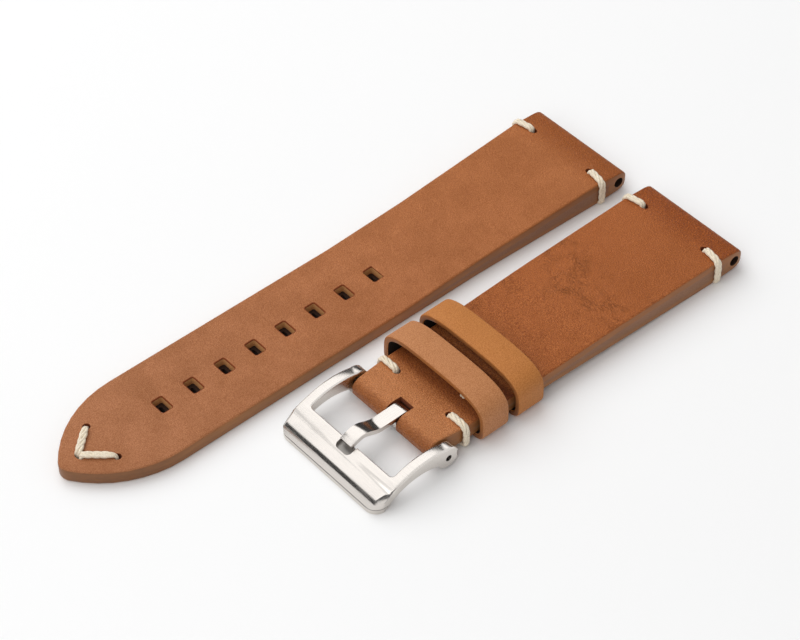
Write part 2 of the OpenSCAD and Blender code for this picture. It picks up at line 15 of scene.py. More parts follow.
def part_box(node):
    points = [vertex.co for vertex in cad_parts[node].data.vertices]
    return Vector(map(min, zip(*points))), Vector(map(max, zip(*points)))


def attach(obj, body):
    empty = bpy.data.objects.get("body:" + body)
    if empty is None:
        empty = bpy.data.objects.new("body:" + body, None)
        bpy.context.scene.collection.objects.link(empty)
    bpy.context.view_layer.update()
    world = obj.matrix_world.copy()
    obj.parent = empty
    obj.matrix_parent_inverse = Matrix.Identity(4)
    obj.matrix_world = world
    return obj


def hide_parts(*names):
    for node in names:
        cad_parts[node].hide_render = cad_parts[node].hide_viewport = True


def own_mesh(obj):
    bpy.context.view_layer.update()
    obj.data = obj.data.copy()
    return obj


bl_info = {
    "name": "Leather Watch Strap",
    "version": (1, 0, 0),
    "blender": (4, 5, 0),
    "location": "View3D > Sidebar > Strap",
    "description": "Builds a two-piece leather watch strap with a pin buckle around its packed frame",
    "category": "Object",
}

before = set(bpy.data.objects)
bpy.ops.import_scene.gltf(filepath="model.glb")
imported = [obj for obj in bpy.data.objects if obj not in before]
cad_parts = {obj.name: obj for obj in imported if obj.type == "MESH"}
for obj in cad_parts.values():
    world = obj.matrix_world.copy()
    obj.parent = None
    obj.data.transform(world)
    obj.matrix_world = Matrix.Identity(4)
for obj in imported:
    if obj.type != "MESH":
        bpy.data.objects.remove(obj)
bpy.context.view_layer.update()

MM = 0.001
TABLE_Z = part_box("tail_lining")[0][2]
SHARP = math.radians(50)  # edges that turn less aren't rounded
NEAR = 0.02  # two places closer than this are the same
SIDES = ((1, "near"), (-1, "far"))
UNTURNED = (0, 0, 0)

# Where the two halves lie
TAIL_PLACE = (0.9, -27.25)
STRAP_PLACE = (0.0, 0.0)

# The nose that both halves have round their lug bores
BORE_H = 2.3
BORE_R = 1.0
BORE_CUT = 30
NOSE_R = 2.1
NOSE_DROP = 0.4
SPLIT_X = 2.4
HEEL_X = 4.0
SHOULDER_X = 5.0
FLAP_X = 9.0
FIRST_ANGLE = 14  # the row at this angle stands at the very end of a round

# Tail half
TAIL_NARROW_X = 33
TAIL_THIN_X = 50
TIP_CURVE_X, TIP_CURVE_R = 96.54, 20
TIP_JOIN_X = 112.96
TIP_END_X, TIP_END_R = 110.9, 2.5
TIP_X = 113.4
TIP_HALF = 0.36
HOLE_X = [93.2 - 6.45 * i for i in range(8)]
HOLE_LONG, HOLE_WIDE = 1.0, 1.55  # half the length and width of a hole
TAIL_STATIONS = (
    [SPLIT_X, HEEL_X, 4.6, 5.4, 6.5, FLAP_X, 14, 20, 27, TAIL_NARROW_X, 38, 44, TAIL_THIN_X, 60, 70, 80, 90]
    + [TIP_CURVE_X + TIP_CURVE_R * math.sin(math.radians(a)) for a in (0, 7, 14, 21, 28, 35, 42, 49, 55.2)]
    + [TIP_END_X + TIP_END_R * math.sin(math.radians(a)) for a in (63, 72)] + [TIP_X])

# Buckle half
PAD_X = 30.9
SLOPE_X = 44.9
NECK_X = 61.3
NECK_HALF = 10.1
KEEPER_UNDER = 1.25
KEEPER_TOP = 4.45
POCKET_X = 59.8
RETURN_X = 52.3
BAR_X = 66.8
BAR_H = 2.6
FOLD_R = 2.1
FOLD_HALF = 9.5
STRAP_STATIONS = [SPLIT_X, HEEL_X, 4.6, 5.4, FLAP_X, 16, 23, 29.5, 32.3, 38, 43.6, 46.2, 50, 55, POCKET_X]

# Stitches
STITCH_INSET = 3.45
LUG_STITCH_X = 3.8
FOLD_STITCH_X = 61.7
TIP_START = 109.6
TIP_LEG = 5.75
TIP_TURN = 138
TIP_APART = 0.32
THREAD_HOLE_R = 0.68
TWIST = 5.2
PLIES = 4

# Keepers
KEEPER_Y = -0.3
KEEPER_HALF, KEEPER_ARCH, KEEPER_SIDE = 12.31, 5.6, 3.0

# Buckle, tongue and spring bar
FRAME_HALF = 12
EAR_R = 2.15
WINDOW_X = 77.0
CORNER_X, CORNER_Y, CORNER_R = 80.2, 9.8, 2.2
LIP_X = 82.4
LAST_ROW_X = 82.37
TOP_ARCS = (  # end, centre x, centre z and radius of the arcs along the top
    (75.0, 71.0, -8.7, 14), (81.084, 46.616, -90.491, 99.35), (81.93, 80.564, 1.280, 1.5))
TONGUE_GUIDE = ((65.8, 4.0), (66.8, 4.0), (71.1, 3.95), (72.6, 4.2), (74.4, 4.95), (75.5, 5.14), (76.5, 4.92),
                (77.3, 4.60), (77.95, 4.32), (78.3, 4.17))
TONGUE_HALF = 1.3
EYE_R = 1.4
COIL_R = 0.48
COIL_REACH = 6.4

# Stage, in metres
MIDDLE = (0.055, -0.013, 0.0)
CAMERA_LENS = 108.68
CAMERA_PLACE = (0.236652, 0.196833, 0.291567)
CAMERA_AXES = (  # right, up and backward
    (-0.75317, 0.65780, -0.00484), (-0.47553, -0.53936, 0.69496), (0.45453, 0.52573, 0.71903))


# ---------------------------------------------------------------- user sizes and colours


def length_prop(name, description, default, low, high):
    """A length setting, given in millimetres."""
    return bpy.props.FloatProperty(name=name, description=description, default=default * MM, min=low * MM,
                                   max=high * MM, subtype="DISTANCE", unit="LENGTH")


def colour_prop(name, description, rgb):
    """A colour setting whose default is given in the 0 to 255 values of a picture."""
    return bpy.props.FloatVectorProperty(
        name=name, description=description, size=3, min=0.0, max=1.0, subtype="COLOR_GAMMA",
        default=tuple(c / 255 for c in rgb))


class StrapSizes(bpy.types.PropertyGroup):
    """Sizes of the strap's own pieces."""

    lug_width: length_prop("Lug width", "Width of the strap at the watch's lugs", 22, 18, 24)
    tail_width: length_prop("Tail width", "Width of the tail and of the inside of the buckle", 20, 16, 22)
    lug_thickness: length_prop("Lug thickness", "Thickness of the padded strap at the lugs", 4.8, 4.4, 5.4)
    cover_thickness: length_prop("Outer leather", "Thickness of the outer leather", 1.5, 1.2, 1.7)
    lining_thickness: length_prop("Lining", "Thickness of the lining leather", 1.2, 0.9, 1.4)
    edge_round: length_prop("Edge rounding", "Radius of the leather's long rounded edges", 0.42, 0.1, 0.5)
    thread_width: length_prop("Thread width", "Width of the flattened thread", 1.38, 0.8, 1.5)
    thread_thickness: length_prop("Thread thickness", "Thickness of the flattened thread", 0.8, 0.5, 0.9)
    keeper_width: length_prop("Keeper width", "Width of each keeper along the strap", 5.6, 4.0, 6.0)
    keeper_thickness: length_prop("Keeper leather", "Thickness of the keepers' leather", 1.1, 0.8, 1.3)
    steel_round: length_prop("Buckle rounding", "Radius of the buckle's polished edges", 0.36, 0.1, 0.4)


class StrapColours(bpy.types.PropertyGroup):
    """Colours of the strap's leather, thread and steel, and of the stage."""

    tail_leather: colour_prop("Tail leather", "Outer leather of the tail half", (164, 96, 48))
    strap_leather: colour_prop("Buckle half leather", "Outer leather of the buckle half", (163, 88, 37))
    keeper_leather: colour_prop("Keeper leather", "Leather of the two keepers", (182, 114, 54))
    # Near black: painted shade inside the keepers.
    keeper_inside_shade: colour_prop("Keeper inside", "Rough inner side of the keepers", (36, 24, 17))
    edge_paint: colour_prop("Edge paint", "Painted side edges", (156, 103, 58))
    cut_leather: colour_prop("Cut leather", "Rims of the holes and walls of the slot", (124, 60, 26))
    hole_wall: colour_prop("Hole wall", "Fibrous walls of the punched holes", (192, 138, 86))
    # Near black: painted shade in the bores and at the bottom of the holes.
    hole_shade_leather: colour_prop("Deep leather", "Walls of the bores and the bottom of the holes", (44, 27, 18))
    lining: colour_prop("Lining", "Lining leather under the strap", (176, 132, 96))
    board: colour_prop("Board", "Filler board between the leathers", (146, 104, 76))
    thread: colour_prop("Thread", "Waxed thread", (240, 227, 204))
    steel: colour_prop("Steel", "Buckle and tongue", (219, 213, 207))
    keeper_edge: colour_prop("Keeper edge", "Painted edges of the keepers", (146, 92, 54))
    floor: colour_prop("Floor", "Pale floor", (249, 249, 249))


def size(name):
    """One of the user's sizes, in millimetres."""
    return round(getattr(bpy.context.scene.strap_sizes, name) / MM, 4)


def paint(name):
    """One of the user's colours as linear light, with an alpha of 1."""
    rgb = getattr(bpy.context.scene.strap_colours, name)
    return (*[c / 12.92 if c <= 0.04045 else ((c + 0.055) / 1.055) ** 2.4 for c in rgb], 1.0)


# ---------------------------------------------------------------- outlines of the two halves


def along(x, points):
    """Height at x on a line through points, which run in rising x; level beyond the last."""
    for (xa, za), (xb, zb) in zip(points, points[1:]):
        if x <= xb:
            return za + (zb - za) * (x - xa) / (xb - xa)
    return points[-1][1]


def tail_top(x):
    lug_t = size("lug_thickness")
    return along(x, [(0, lug_t - NOSE_DROP), (SHOULDER_X, lug_t),
                     (TAIL_THIN_X, size("cover_thickness") + size("lining_thickness"))])


def tail_under(x):
    return along(x, [(0, BORE_H - NOSE_R), (HEEL_X, 0)])


def tail_half_width(x):
    """Half the width of the tail half: a narrowing, a straight run and two long curves to a round point."""
    lug, tail = size("lug_width") / 2, size("tail_width") / 2
    if x <= TIP_CURVE_X:
        return along(max(x, 0), [(0, lug), (TAIL_NARROW_X, tail)])
    if x <= TIP_JOIN_X:
        return tail - TIP_CURVE_R + math.sqrt(max(TIP_CURVE_R ** 2 - (x - TIP_CURVE_X) ** 2, 0))
    return math.sqrt(max(TIP_END_R ** 2 - (x - TIP_END_X) ** 2, 0))


def strap_top(x):
    lug_t = size("lug_thickness")
    return along(x, [(0, lug_t - NOSE_DROP), (SHOULDER_X, lug_t), (PAD_X, lug_t), (SLOPE_X, KEEPER_TOP),
                     (NECK_X, KEEPER_TOP), (BAR_X, BAR_H + FOLD_R)])


def strap_under(x):
    return along(x, [(0, BORE_H - NOSE_R), (HEEL_X, 0), (8, 0), (SLOPE_X, KEEPER_UNDER),
                     (NECK_X, KEEPER_UNDER), (BAR_X, BAR_H - FOLD_R)])


def strap_half_width(x):
    return along(max(x, 0), [(0, size("lug_width") / 2), (NECK_X, NECK_HALF), (BAR_X, FOLD_HALF)])


Half = namedtuple("Half", "label body top under width")
TAIL = Half("tail", "tail_half", tail_top, tail_under, tail_half_width)
STRAP = Half("buckle_half", "buckle_half", strap_top, strap_under, strap_half_width)


def cover_under(half):
    """Height of the underside of a half's outer leather, as a function of x."""
    return lambda x: half.top(x) - size("cover_thickness")


def fold_stitch_y():
    return strap_half_width(FOLD_STITCH_X) - STITCH_INSET


def layer_rows(half, stations, low, high):
    """Rows of x, half width, lowest and highest z of a layer between two heights, which are functions of x."""
    return [(x, max(half.width(x), TIP_HALF), low(x), high(x)) for x in stations]


def round_rows(x, z, radius, side, angles, halves):
    """Rows round a circle's end at x and z, which bulges along x to this side."""
    rows = []
    for angle, half in zip(angles, halves):
        a = math.radians(angle)
        reach = radius if angle == FIRST_ANGLE else radius * math.cos(a)
        rise = radius * math.sin(a)
        rows.append((x + side * reach, half, z - rise, z + rise))
    return rows


# ---------------------------------------------------------------- modelling helpers


def done():
    bpy.ops.object.mode_set(mode="OBJECT")


def deselect():
    """Leaves edit mode, if it's on, and leaves no object selected."""
    if bpy.context.object and bpy.context.object.mode != "OBJECT":
        done()
    bpy.ops.object.select_all(action="DESELECT")


def only(obj):
    """Leaves just this object selected and active, in object mode."""
    deselect()
    obj.select_set(True)
    bpy.context.view_layer.objects.active = obj


def edit(obj):
    only(obj)
    bpy.ops.object.mode_set(mode="EDIT")


def freeze(scale=True):
    """Bakes the active object's place and turn into its mesh, and its scale too unless told not to."""
    bpy.ops.object.transform_apply(location=True, rotation=True, scale=scale)


def named(name, scale=None):
    """The object that was just added, named, given a scale if there is one, and frozen."""
    obj = bpy.context.object
    obj.name = obj.data.name = name
    if scale:
        obj.scale = scale
    freeze()
    return obj


def remove(obj):
    bpy.data.objects.remove(obj, do_unlink=True)


def near(a, b):
    return abs(a - b) < NEAR


def ends(edge):
    """The two ends of an edge, in millimetres."""
    return [v.co / MM for v in edge.verts]


def upright(edge):
    a, b = ends(edge)
    return abs(a.z - b.z) > 1


def pick_all():
    bpy.ops.mesh.select_all(action="SELECT")


def pick(obj, kind, test):
    """In edit mode, selects the vertices, edges or faces that pass the test. It is an error if none does."""
    bpy.ops.mesh.select_mode(type=kind)
    bpy.ops.mesh.select_all(action="DESELECT")
    mesh = bmesh.from_edit_mesh(obj.data)
    mesh.normal_update()
    chosen = [item for item in {"VERT": mesh.verts, "EDGE": mesh.edges, "FACE": mesh.faces}[kind] if test(item)]
    for item in chosen:
        item.select_set(True)
    mesh.select_flush_mode()
    bmesh.update_edit_mesh(obj.data)
    if not chosen:
        raise RuntimeError(f"{obj.name}: no {kind.lower()} passes the test")


def under_edge(half, *open_ends):
    """A test for the lower edges of a lining, save those at its open ends."""
    def test(edge):
        a, b = ends(edge)
        return (all(p.z < half.under(p.x) + NEAR for p in (a, b))
                and not any(near(a.x, x) and near(b.x, x) for x in open_ends))
    return test


def end_face(x, side, low=-math.inf, high=math.inf):
    """A test for the faces at x that look to this side along x and have their middle between two heights."""
    return lambda face: (face.normal.x * side > 0.9 and near(face.verts[0].co.x / MM, x)
                         and low < face.calc_center_median().z / MM < high)


def split_face(obj, test, heights):
    """Cuts the upright face that passes the test at these heights."""
    for height in heights:
        pick(obj, "FACE", test)
        bpy.ops.mesh.bisect(plane_co=(0, 0, height * MM), plane_no=(0, 0, 1))


def modify(obj, kind, **settings):
    """Adds a modifier with these settings and applies it."""
    only(obj)
    bpy.ops.object.modifier_add(type=kind)
    modifier = obj.modifiers[-1]
    for name, value in settings.items():
        setattr(modifier, name, value)
    bpy.ops.object.modifier_apply(modifier=modifier.name)


def bevel_all(obj, width, angle):
    """Rounds every edge that turns more than this angle."""
    modify(obj, "BEVEL", width=width * MM, segments=3, limit_method="ANGLE", angle_limit=math.radians(angle))


def round_edges(obj, test, radius, segments=3, sharp=SHARP):
    """Rounds the sharp edges that pass the test."""
    edit(obj)
    pick(obj, "EDGE", lambda e: len(e.link_faces) == 2 and e.calc_face_angle() > sharp and test(e))
    bpy.ops.mesh.bevel(offset=radius * MM, segments=segments, affect="EDGES", clamp_overlap=False)
    done()


def close(obj):
    """Merges doubles and points every face outwards."""
    edit(obj)
    pick_all()
    bpy.ops.mesh.remove_doubles(threshold=1e-6)
    bpy.ops.mesh.normals_make_consistent(inside=False)
    done()


def block(name, low, high):
    """A block between two corners."""
    deselect()
    bpy.ops.mesh.primitive_cube_add(size=1, location=[(a + b) / 2 * MM for a, b in zip(low, high)],
                                    scale=[(b - a) * MM for a, b in zip(low, high)])
    return named(name)


def rod(name, centre, radius, length, lying=True, sides=32, stretch=1):
    """A round cutter that lies across the strap or stands upright; stretch widens it across the strap."""
    deselect()
    bpy.ops.mesh.primitive_cylinder_add(
        vertices=sides, radius=radius * MM, depth=length * MM, location=[c * MM for c in centre],
        rotation=(math.pi / 2, 0, 0) if lying else UNTURNED)
    return named(name, (1, stretch, 1))


def fit_face(row, into):
    """Fits the selected end face to the next row's width and height."""
    (_, wa, la, ha), (xb, wb, lb, hb) = row, into
    bpy.ops.transform.resize(value=(1, wb / wa, (hb - lb) / (ha - la)),
                             center_override=(xb * MM, 0, (lb + hb) / 2 * MM))


def extrude(dx, dz):
    """Extrudes what is selected along x and z."""
    bpy.ops.mesh.extrude_region_move(TRANSFORM_OT_translate={"value": (dx * MM, 0, dz * MM)})


def draw_rows(rows):
    """Extrudes the selected end face through rows of x, half width, lowest and highest z; row 0 is the face."""
    for row, into in zip(rows, rows[1:]):
        extrude(into[0] - row[0], (into[2] + into[3] - row[2] - row[3]) / 2)
        fit_face(row, into)


def drawn(name, rows):
    """A closed bar of rectangular section drawn out through rows of x, half width, lowest and highest z."""
    (xa, wa, la, ha), (xb, _, lb, hb) = rows[:2]
    obj = block(name, (xa, -wa, la), (xb, wa, ha))
    edit(obj)
    pick(obj, "FACE", lambda f: f.normal.x > 0.9)
    bpy.ops.transform.translate(value=(0, 0, (lb + hb - la - ha) / 2 * MM))
    fit_face(*rows[:2])
    draw_rows(rows[1:])
    done()
    return obj


def copied(obj, dx=0.0, dy=0.0, dz=0.0):
    """A copy with its own mesh, moved in millimetres."""
    only(obj)
    bpy.ops.object.duplicate(linked=False)
    new = bpy.context.object
    new.location = (dx * MM, dy * MM, dz * MM)
    freeze(scale=False)
    return new


def renamed(obj, name):
    obj.name = obj.data.name = name
    return obj


def joined(objs, name):
    """Makes one object of several."""
    only(objs[0])
    for obj in objs[1:]:
        obj.select_set(True)
    if len(objs) > 1:
        bpy.ops.object.join()
    return renamed(objs[0], name)


def cut(obj, cutters, finish=None):
    """Cuts the shapes out of a piece; the new walls get this finish."""
    tool = joined(cutters, "cutter")
    if finish:
        dress(tool, finish)
    modify(obj, "BOOLEAN", operation="DIFFERENCE", object=tool, solver="EXACT", material_mode="TRANSFER")
    remove(tool)


def give_faces(obj, finish, test):
    """Gives the faces that pass the test one of the piece's finishes."""
    edit(obj)
    pick(obj, "FACE", test)
    obj.active_material_index = obj.data.materials.find(materials()[finish].name)
    bpy.ops.object.material_slot_assign()
    done()


def settle(obj, node, body="buckle_half", angle=32):
    """Shades a finished piece smooth over edges up to this angle, unless it's 0, moves it from the drawing table to
    its place and ties it to the frame."""
    only(obj)
    if angle:
        bpy.ops.object.shade_smooth_by_angle(angle=math.radians(angle))
    place = TAIL_PLACE if body == "tail_half" else STRAP_PLACE
    obj.location = (place[0] * MM, place[1] * MM, TABLE_Z)
    freeze(scale=False)
    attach(obj, body)
    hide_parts(node)


# ---------------------------------------------------------------- shader helpers


class Nodes:
    """Short calls for adding and linking shader nodes in a tree."""

    def __init__(self, tree):
        self.tree = tree

    def add(self, kind, links=None, **settings):
        """Adds a node; settings are its properties, links its input values or the outputs that feed them."""
        node = self.tree.nodes.new(kind)
        for name, value in settings.items():
            setattr(node, name, value)
        for socket, value in (links or {}).items():
            self.feed(node.inputs[socket], value)
        return node

    def feed(self, socket, value):
        if isinstance(value, bpy.types.NodeSocket):
            self.tree.links.new(value, socket)
        else:
            socket.default_value = value

    def math(self, operation, a, b=0.0, clamp=False):
        return self.add("ShaderNodeMath", {0: a, 1: b}, operation=operation, use_clamp=clamp).outputs[0]

    def times(self, a, b):
        return self.math("MULTIPLY", a, b)

    def blend(self, a, b, share):
        """This share of a plus the rest of b."""
        return self.math("ADD", self.times(a, share), self.times(b, 1 - share))

    def ramp(self, value, low, high, out_low=0.0, out_high=1.0, shape="SMOOTHSTEP"):
        """Maps value from low..high to out_low..out_high, held at the ends."""
        return self.add("ShaderNodeMapRange", {
            "Value": value, "From Min": low, "From Max": high, "To Min": out_low, "To Max": out_high},
            interpolation_type=shape).outputs["Result"]

    def span(self, value, rise, full, fall, end):
        """0 up to rise, 1 between full and fall, 0 again from end, all in millimetres."""
        return self.times(self.ramp(value, rise * MM, full * MM), self.ramp(value, fall * MM, end * MM, 1.0, 0.0))

    def mix(self, factor, a, b, blend="MIX"):
        return self.add("ShaderNodeMix", {0: factor, 6: a, 7: b}, data_type="RGBA", blend_type=blend).outputs[2]

    def tint(self, colour, red, green, blue):
        """The colour that comes in, times a fixed one."""
        return self.mix(1.0, colour, (red, green, blue, 1), "MULTIPLY")

    def noise(self, vector, scale, detail=2.0, roughness=0.5, distortion=0.0, output="Fac"):
        return self.add("ShaderNodeTexNoise", {
            "Vector": vector, "Scale": scale, "Detail": detail, "Roughness": roughness,
            "Distortion": distortion}).outputs[output]

    def place(self):
        """Object coordinates, in metres."""
        return self.add("ShaderNodeTexCoord").outputs["Object"]

    def axes(self, vector):
        return self.add("ShaderNodeSeparateXYZ", {0: vector}).outputs

    def moved(self, vector, location=UNTURNED, scale=(1, 1, 1), rotation=UNTURNED):
        return self.add("ShaderNodeMapping", {
            "Vector": vector, "Location": location, "Scale": scale, "Rotation": rotation}).outputs[0]


def leather_group():
    """Grain of smooth vegetable-tanned leather: cloudy tone, fine speckle and small pebbles."""
    name = "strap_leather_grain"
    if name in bpy.data.node_groups:
        return bpy.data.node_groups[name]
    tree = bpy.data.node_groups.new(name, "ShaderNodeTree")
    for label, way, kind in (
            ("Vector", "INPUT", "Vector"), ("Pebble", "INPUT", "Float"), ("Crease", "INPUT", "Float"),
            ("Cloud", "OUTPUT", "Float"), ("Speckle", "OUTPUT", "Float"), ("Pores", "OUTPUT", "Float"),
            ("Height", "OUTPUT", "Float")):
        tree.interface.new_socket(name=label, in_out=way, socket_type=f"NodeSocket{kind}")
    n = Nodes(tree)
    given, out = n.add("NodeGroupInput").outputs, n.add("NodeGroupOutput").inputs
    where = given["Vector"]
    n.feed(out["Cloud"], n.blend(n.noise(where, 55, 4, 0.62), n.noise(where, 260, 3, 0.6), 0.6))
    speckle = n.blend(n.noise(where, 3000, 2, 0.6), n.noise(where, 6800, 2, 0.65), 0.12)
    n.feed(out["Speckle"], speckle)
    bent = n.add("ShaderNodeMix", {0: 0.00035, 4: where, 5: n.noise(where, 900, output="Color")}, data_type="VECTOR")
    cells = n.add("ShaderNodeTexVoronoi", {
        "Vector": bent.outputs[1], "Scale": 2300.0, "Randomness": 1.0}, feature="DISTANCE_TO_EDGE").outputs[0]
    pebble = n.ramp(cells, 0.0, 0.22)
    folds = n.noise(n.moved(where, scale=(1.0, 0.42, 1.0), rotation=(0, 0, math.radians(28))), 1150, 4, 0.6, 1.6)
    crease = n.times(n.ramp(n.math("ABSOLUTE", n.math("SUBTRACT", folds, 0.5)), 0.0, 0.05, 1.0, 0.0),
                     given["Crease"])
    crease = n.times(crease, n.ramp(n.noise(where, 420), 0.35, 0.65))
    pores = n.math("MULTIPLY", n.math("SUBTRACT", 1.0, pebble), given["Pebble"], clamp=True)
    n.feed(out["Pores"], n.math("MAXIMUM", pores, n.times(crease, 0.35), clamp=True))
    grain = n.math("ADD", n.times(speckle, 0.45), n.times(pebble, given["Pebble"]))
    n.feed(out["Height"], n.math("SUBTRACT", grain, n.times(crease, 0.9)))
    return tree


def new_material(name):
    """A material with its node calls and its shader."""
    material = bpy.data.materials.new(name)
    material.use_nodes = True
    return material, Nodes(material.node_tree), material.node_tree.nodes["Principled BSDF"]


def shade(n, shader, colour, rough, more, relief=None):
    """Feeds a shader its colour, its roughness and more of its sockets; relief is height, strength and depth."""
    for name, value in {"Base Color": colour, "Roughness": rough, **more}.items():
        n.feed(shader.inputs[name], value)
    if relief:
        node = n.add("ShaderNodeBump", dict(zip(("Height", "Strength", "Distance"), relief)))
        n.feed(shader.inputs["Normal"], node.outputs[0])


def tinted(colour, *gains):
    """A colour times one gain, or times one gain each for red, green and blue."""
    return (*[min(1.0, c * gain) for c, gain in zip(colour, gains * 3 if len(gains) == 1 else gains)], 1.0)


def outer_leather(name, colour, centre, pebble, grainy, cloudy, creased=None, pales=None, darker_spans=(), sleek=None):
    """Outer leather of one half: centre is the lug bore's place, grainy and cloudy the strength of its speckle and of
    its soft patches, creased the span of x with fine folds, pales where it starts and ends to get lighter, and by how
    much, the darker spans where it is darkened, each with its fade and its tint, which hold the painted shade between
    and under the keepers, and sleek where it starts and ends to get smoother and glossier."""
    def around(share, tones):
        return [1 + share * c for c in tones]

    material, n, shader = new_material(name)
    where = n.place()
    x = n.axes(n.moved(where, location=(-centre[0] * MM, -centre[1] * MM, 0)))["X"]
    near_nose = n.ramp(x, 0.0, 0.0075, 1.0, 0.0)
    grain = n.add("ShaderNodeGroup", {}, node_tree=leather_group())
    n.feed(grain.inputs["Vector"], where)
    n.feed(grain.inputs["Pebble"], n.math("ADD", n.times(near_nose, 0.55), pebble, clamp=True))
    if creased:
        low, high = creased
        n.feed(grain.inputs["Crease"], n.times(n.span(x, low, low + 9, high - 10, high),
                                               n.ramp(n.noise(where, 120), 0.42, 0.62)))
    cloud, speckle, pores, height = grain.outputs
    tone = n.mix(n.ramp(cloud, 0.36, 0.66), tinted(colour, *around(-cloudy, (0.10, 0.12, 0.16))),
                 tinted(colour, *around(cloudy, (0.08, 0.09, 0.12))))
    if pales:
        start, end, lighter = pales
        tone = n.mix(n.ramp(x, start * MM, end * MM), tone, n.tint(tone, *lighter))
    # Darker spans: painted shade in the gap between the keepers and under the fixed keeper, and a darker fold front
    # round the bar.
    for low, high, fade, darker in darker_spans:
        tone = n.mix(n.span(x, low - fade, low, high, high + fade), tone, n.tint(tone, *darker))
    # Within 7.5 mm of the lug end the leather gets darker and more orange: partly painted shade for the rolled nose,
    # partly a deeper tone of the leather there.
    tone = n.mix(n.times(near_nose, 0.8), tone, tinted(colour, 0.88, 0.68, 0.32))
    rough = n.ramp(cloud, 0.3, 0.7, 0.62, 0.50)
    plain = tone
    tone = n.mix(n.ramp(speckle, 0.42, 0.58), n.tint(plain, *around(-grainy, (0.17, 0.22, 0.26))),
                 n.tint(plain, *around(grainy, (0.19, 0.32, 0.55))))
    if sleek:
        glossy = n.ramp(x, sleek[0] * MM, sleek[1] * MM)
        tone = n.mix(n.times(glossy, 0.28), tone, plain)
        rough = n.math("SUBTRACT", rough, n.times(glossy, 0.17))
    tone = n.mix(n.times(pores, 0.55), tone, n.tint(tone, 0.62, 0.56, 0.50))
    shade(n, shader, tone, rough, {"Specular IOR Level": 0.3}, (height, 0.9, 0.00014))
    return material


def painted_edge(name, colour, warm):
    """Burnished and painted leather edge, a little warmer towards the top, and darker round the tail's tip with
    painted shade.
    """
    material, n, shader = new_material(name)
    where = n.place()
    axes = n.axes(where)
    streaks = n.noise(n.moved(where, scale=(0.25, 1, 2.2)), 900, 3, 0.6)
    tone = n.mix(n.ramp(streaks, 0.3, 0.75), tinted(colour, 0.86), tinted(colour, 1.10))
    tone = n.mix(n.times(n.ramp(axes["Z"], -0.001, 0.0026), 0.45), tone, warm)
    # Painted shade: the edge darkens round the tail's tip, from x 88 mm on.
    tone = n.mix(n.ramp(axes["X"], 0.088, 0.106), tone, n.tint(tone, 0.66, 0.66, 0.76))
    tone = n.mix(n.ramp(n.noise(where, 160, 3, 0.55), 0.35, 0.7, 0.0, 0.35), tone, tinted(colour, 0.72))
    shade(n, shader, tone, n.ramp(streaks, 0.3, 0.7, 0.36, 0.5), {"Specular IOR Level": 0.35},
          (streaks, 0.35, 0.00008))
    return material


def fibrous(name, colour, rough=0.8, dark=0.72):
    """Raw leather fibre: the walls of punched holes, the flesh side of the keepers, the lining and the board; with a
    near-black colour it gives the painted shade inside the keepers, the bores and the holes.
    """
    material, n, shader = new_material(name)
    where = n.place()
    fibre = n.noise(n.moved(where, scale=(1, 0.6, 1.8), rotation=(0.2, 0.1, 0.4)), 3200, 5, 0.7, 0.8)
    tone = n.mix(n.ramp(fibre, 0.28, 0.72), tinted(colour, dark), tinted(colour, 1.14))
    tone = n.mix(n.ramp(n.noise(where, 210, 3, 0.55), 0.35, 0.7, 0.0, 0.4), tone, tinted(colour, 0.82))
    shade(n, shader, tone, n.ramp(fibre, 0.3, 0.7, rough, rough - 0.12),
          {"Specular IOR Level": 0.2, "Sheen Weight": 0.04}, (fibre, 0.6, 0.00008))
    return material


def thread_material(name, colour):
    """Waxed linen thread with fine fibres and faint darker, warmer patches."""
    material, n, shader = new_material(name)
    where = n.place()
    fibre = n.noise(n.moved(where, rotation=(0.5, 0.3, 0.8), scale=(1, 0.3, 1)), 5200, 4, 0.7, 0.6)
    tone = n.mix(n.ramp(fibre, 0.30, 0.70), tinted(colour, 0.80), tinted(colour, 1.05))
    tone = n.mix(n.ramp(n.noise(where, 700), 0.4, 0.7, 0.0, 0.25), tone, tinted(colour, 0.86, 0.78, 0.66))
    shade(n, shader, tone, n.ramp(fibre, 0.3, 0.7, 0.62, 0.48), {"Sheen Weight": 0.15}, (fibre, 0.7, 0.00006))
    return material


def steel_material(name, colour, direction, rough_low, rough_high):
    """Steel with fine polishing lines that run along x or y, and faint clouds of handling."""
    material, n, shader = new_material(name)
    where = n.place()
    lines = n.noise(n.moved(where, scale={"X": (0.03, 1, 1), "Y": (1, 0.03, 1)}[direction]), 9000, 3, 0.6)
    rough = n.math("ADD", n.ramp(lines, 0.3, 0.7, rough_low, rough_high),
                   n.ramp(n.noise(where, 240, 3, 0.55), 0.4, 0.7, 0.0, 0.05))
    shade(n, shader, n.mix(n.ramp(lines, 0.3, 0.7), tinted(colour, 0.94), tinted(colour, 1.02)), rough,
          {"Metallic": 1.0}, (lines, 0.12, 0.00002))
    return material


FINISHES = {}


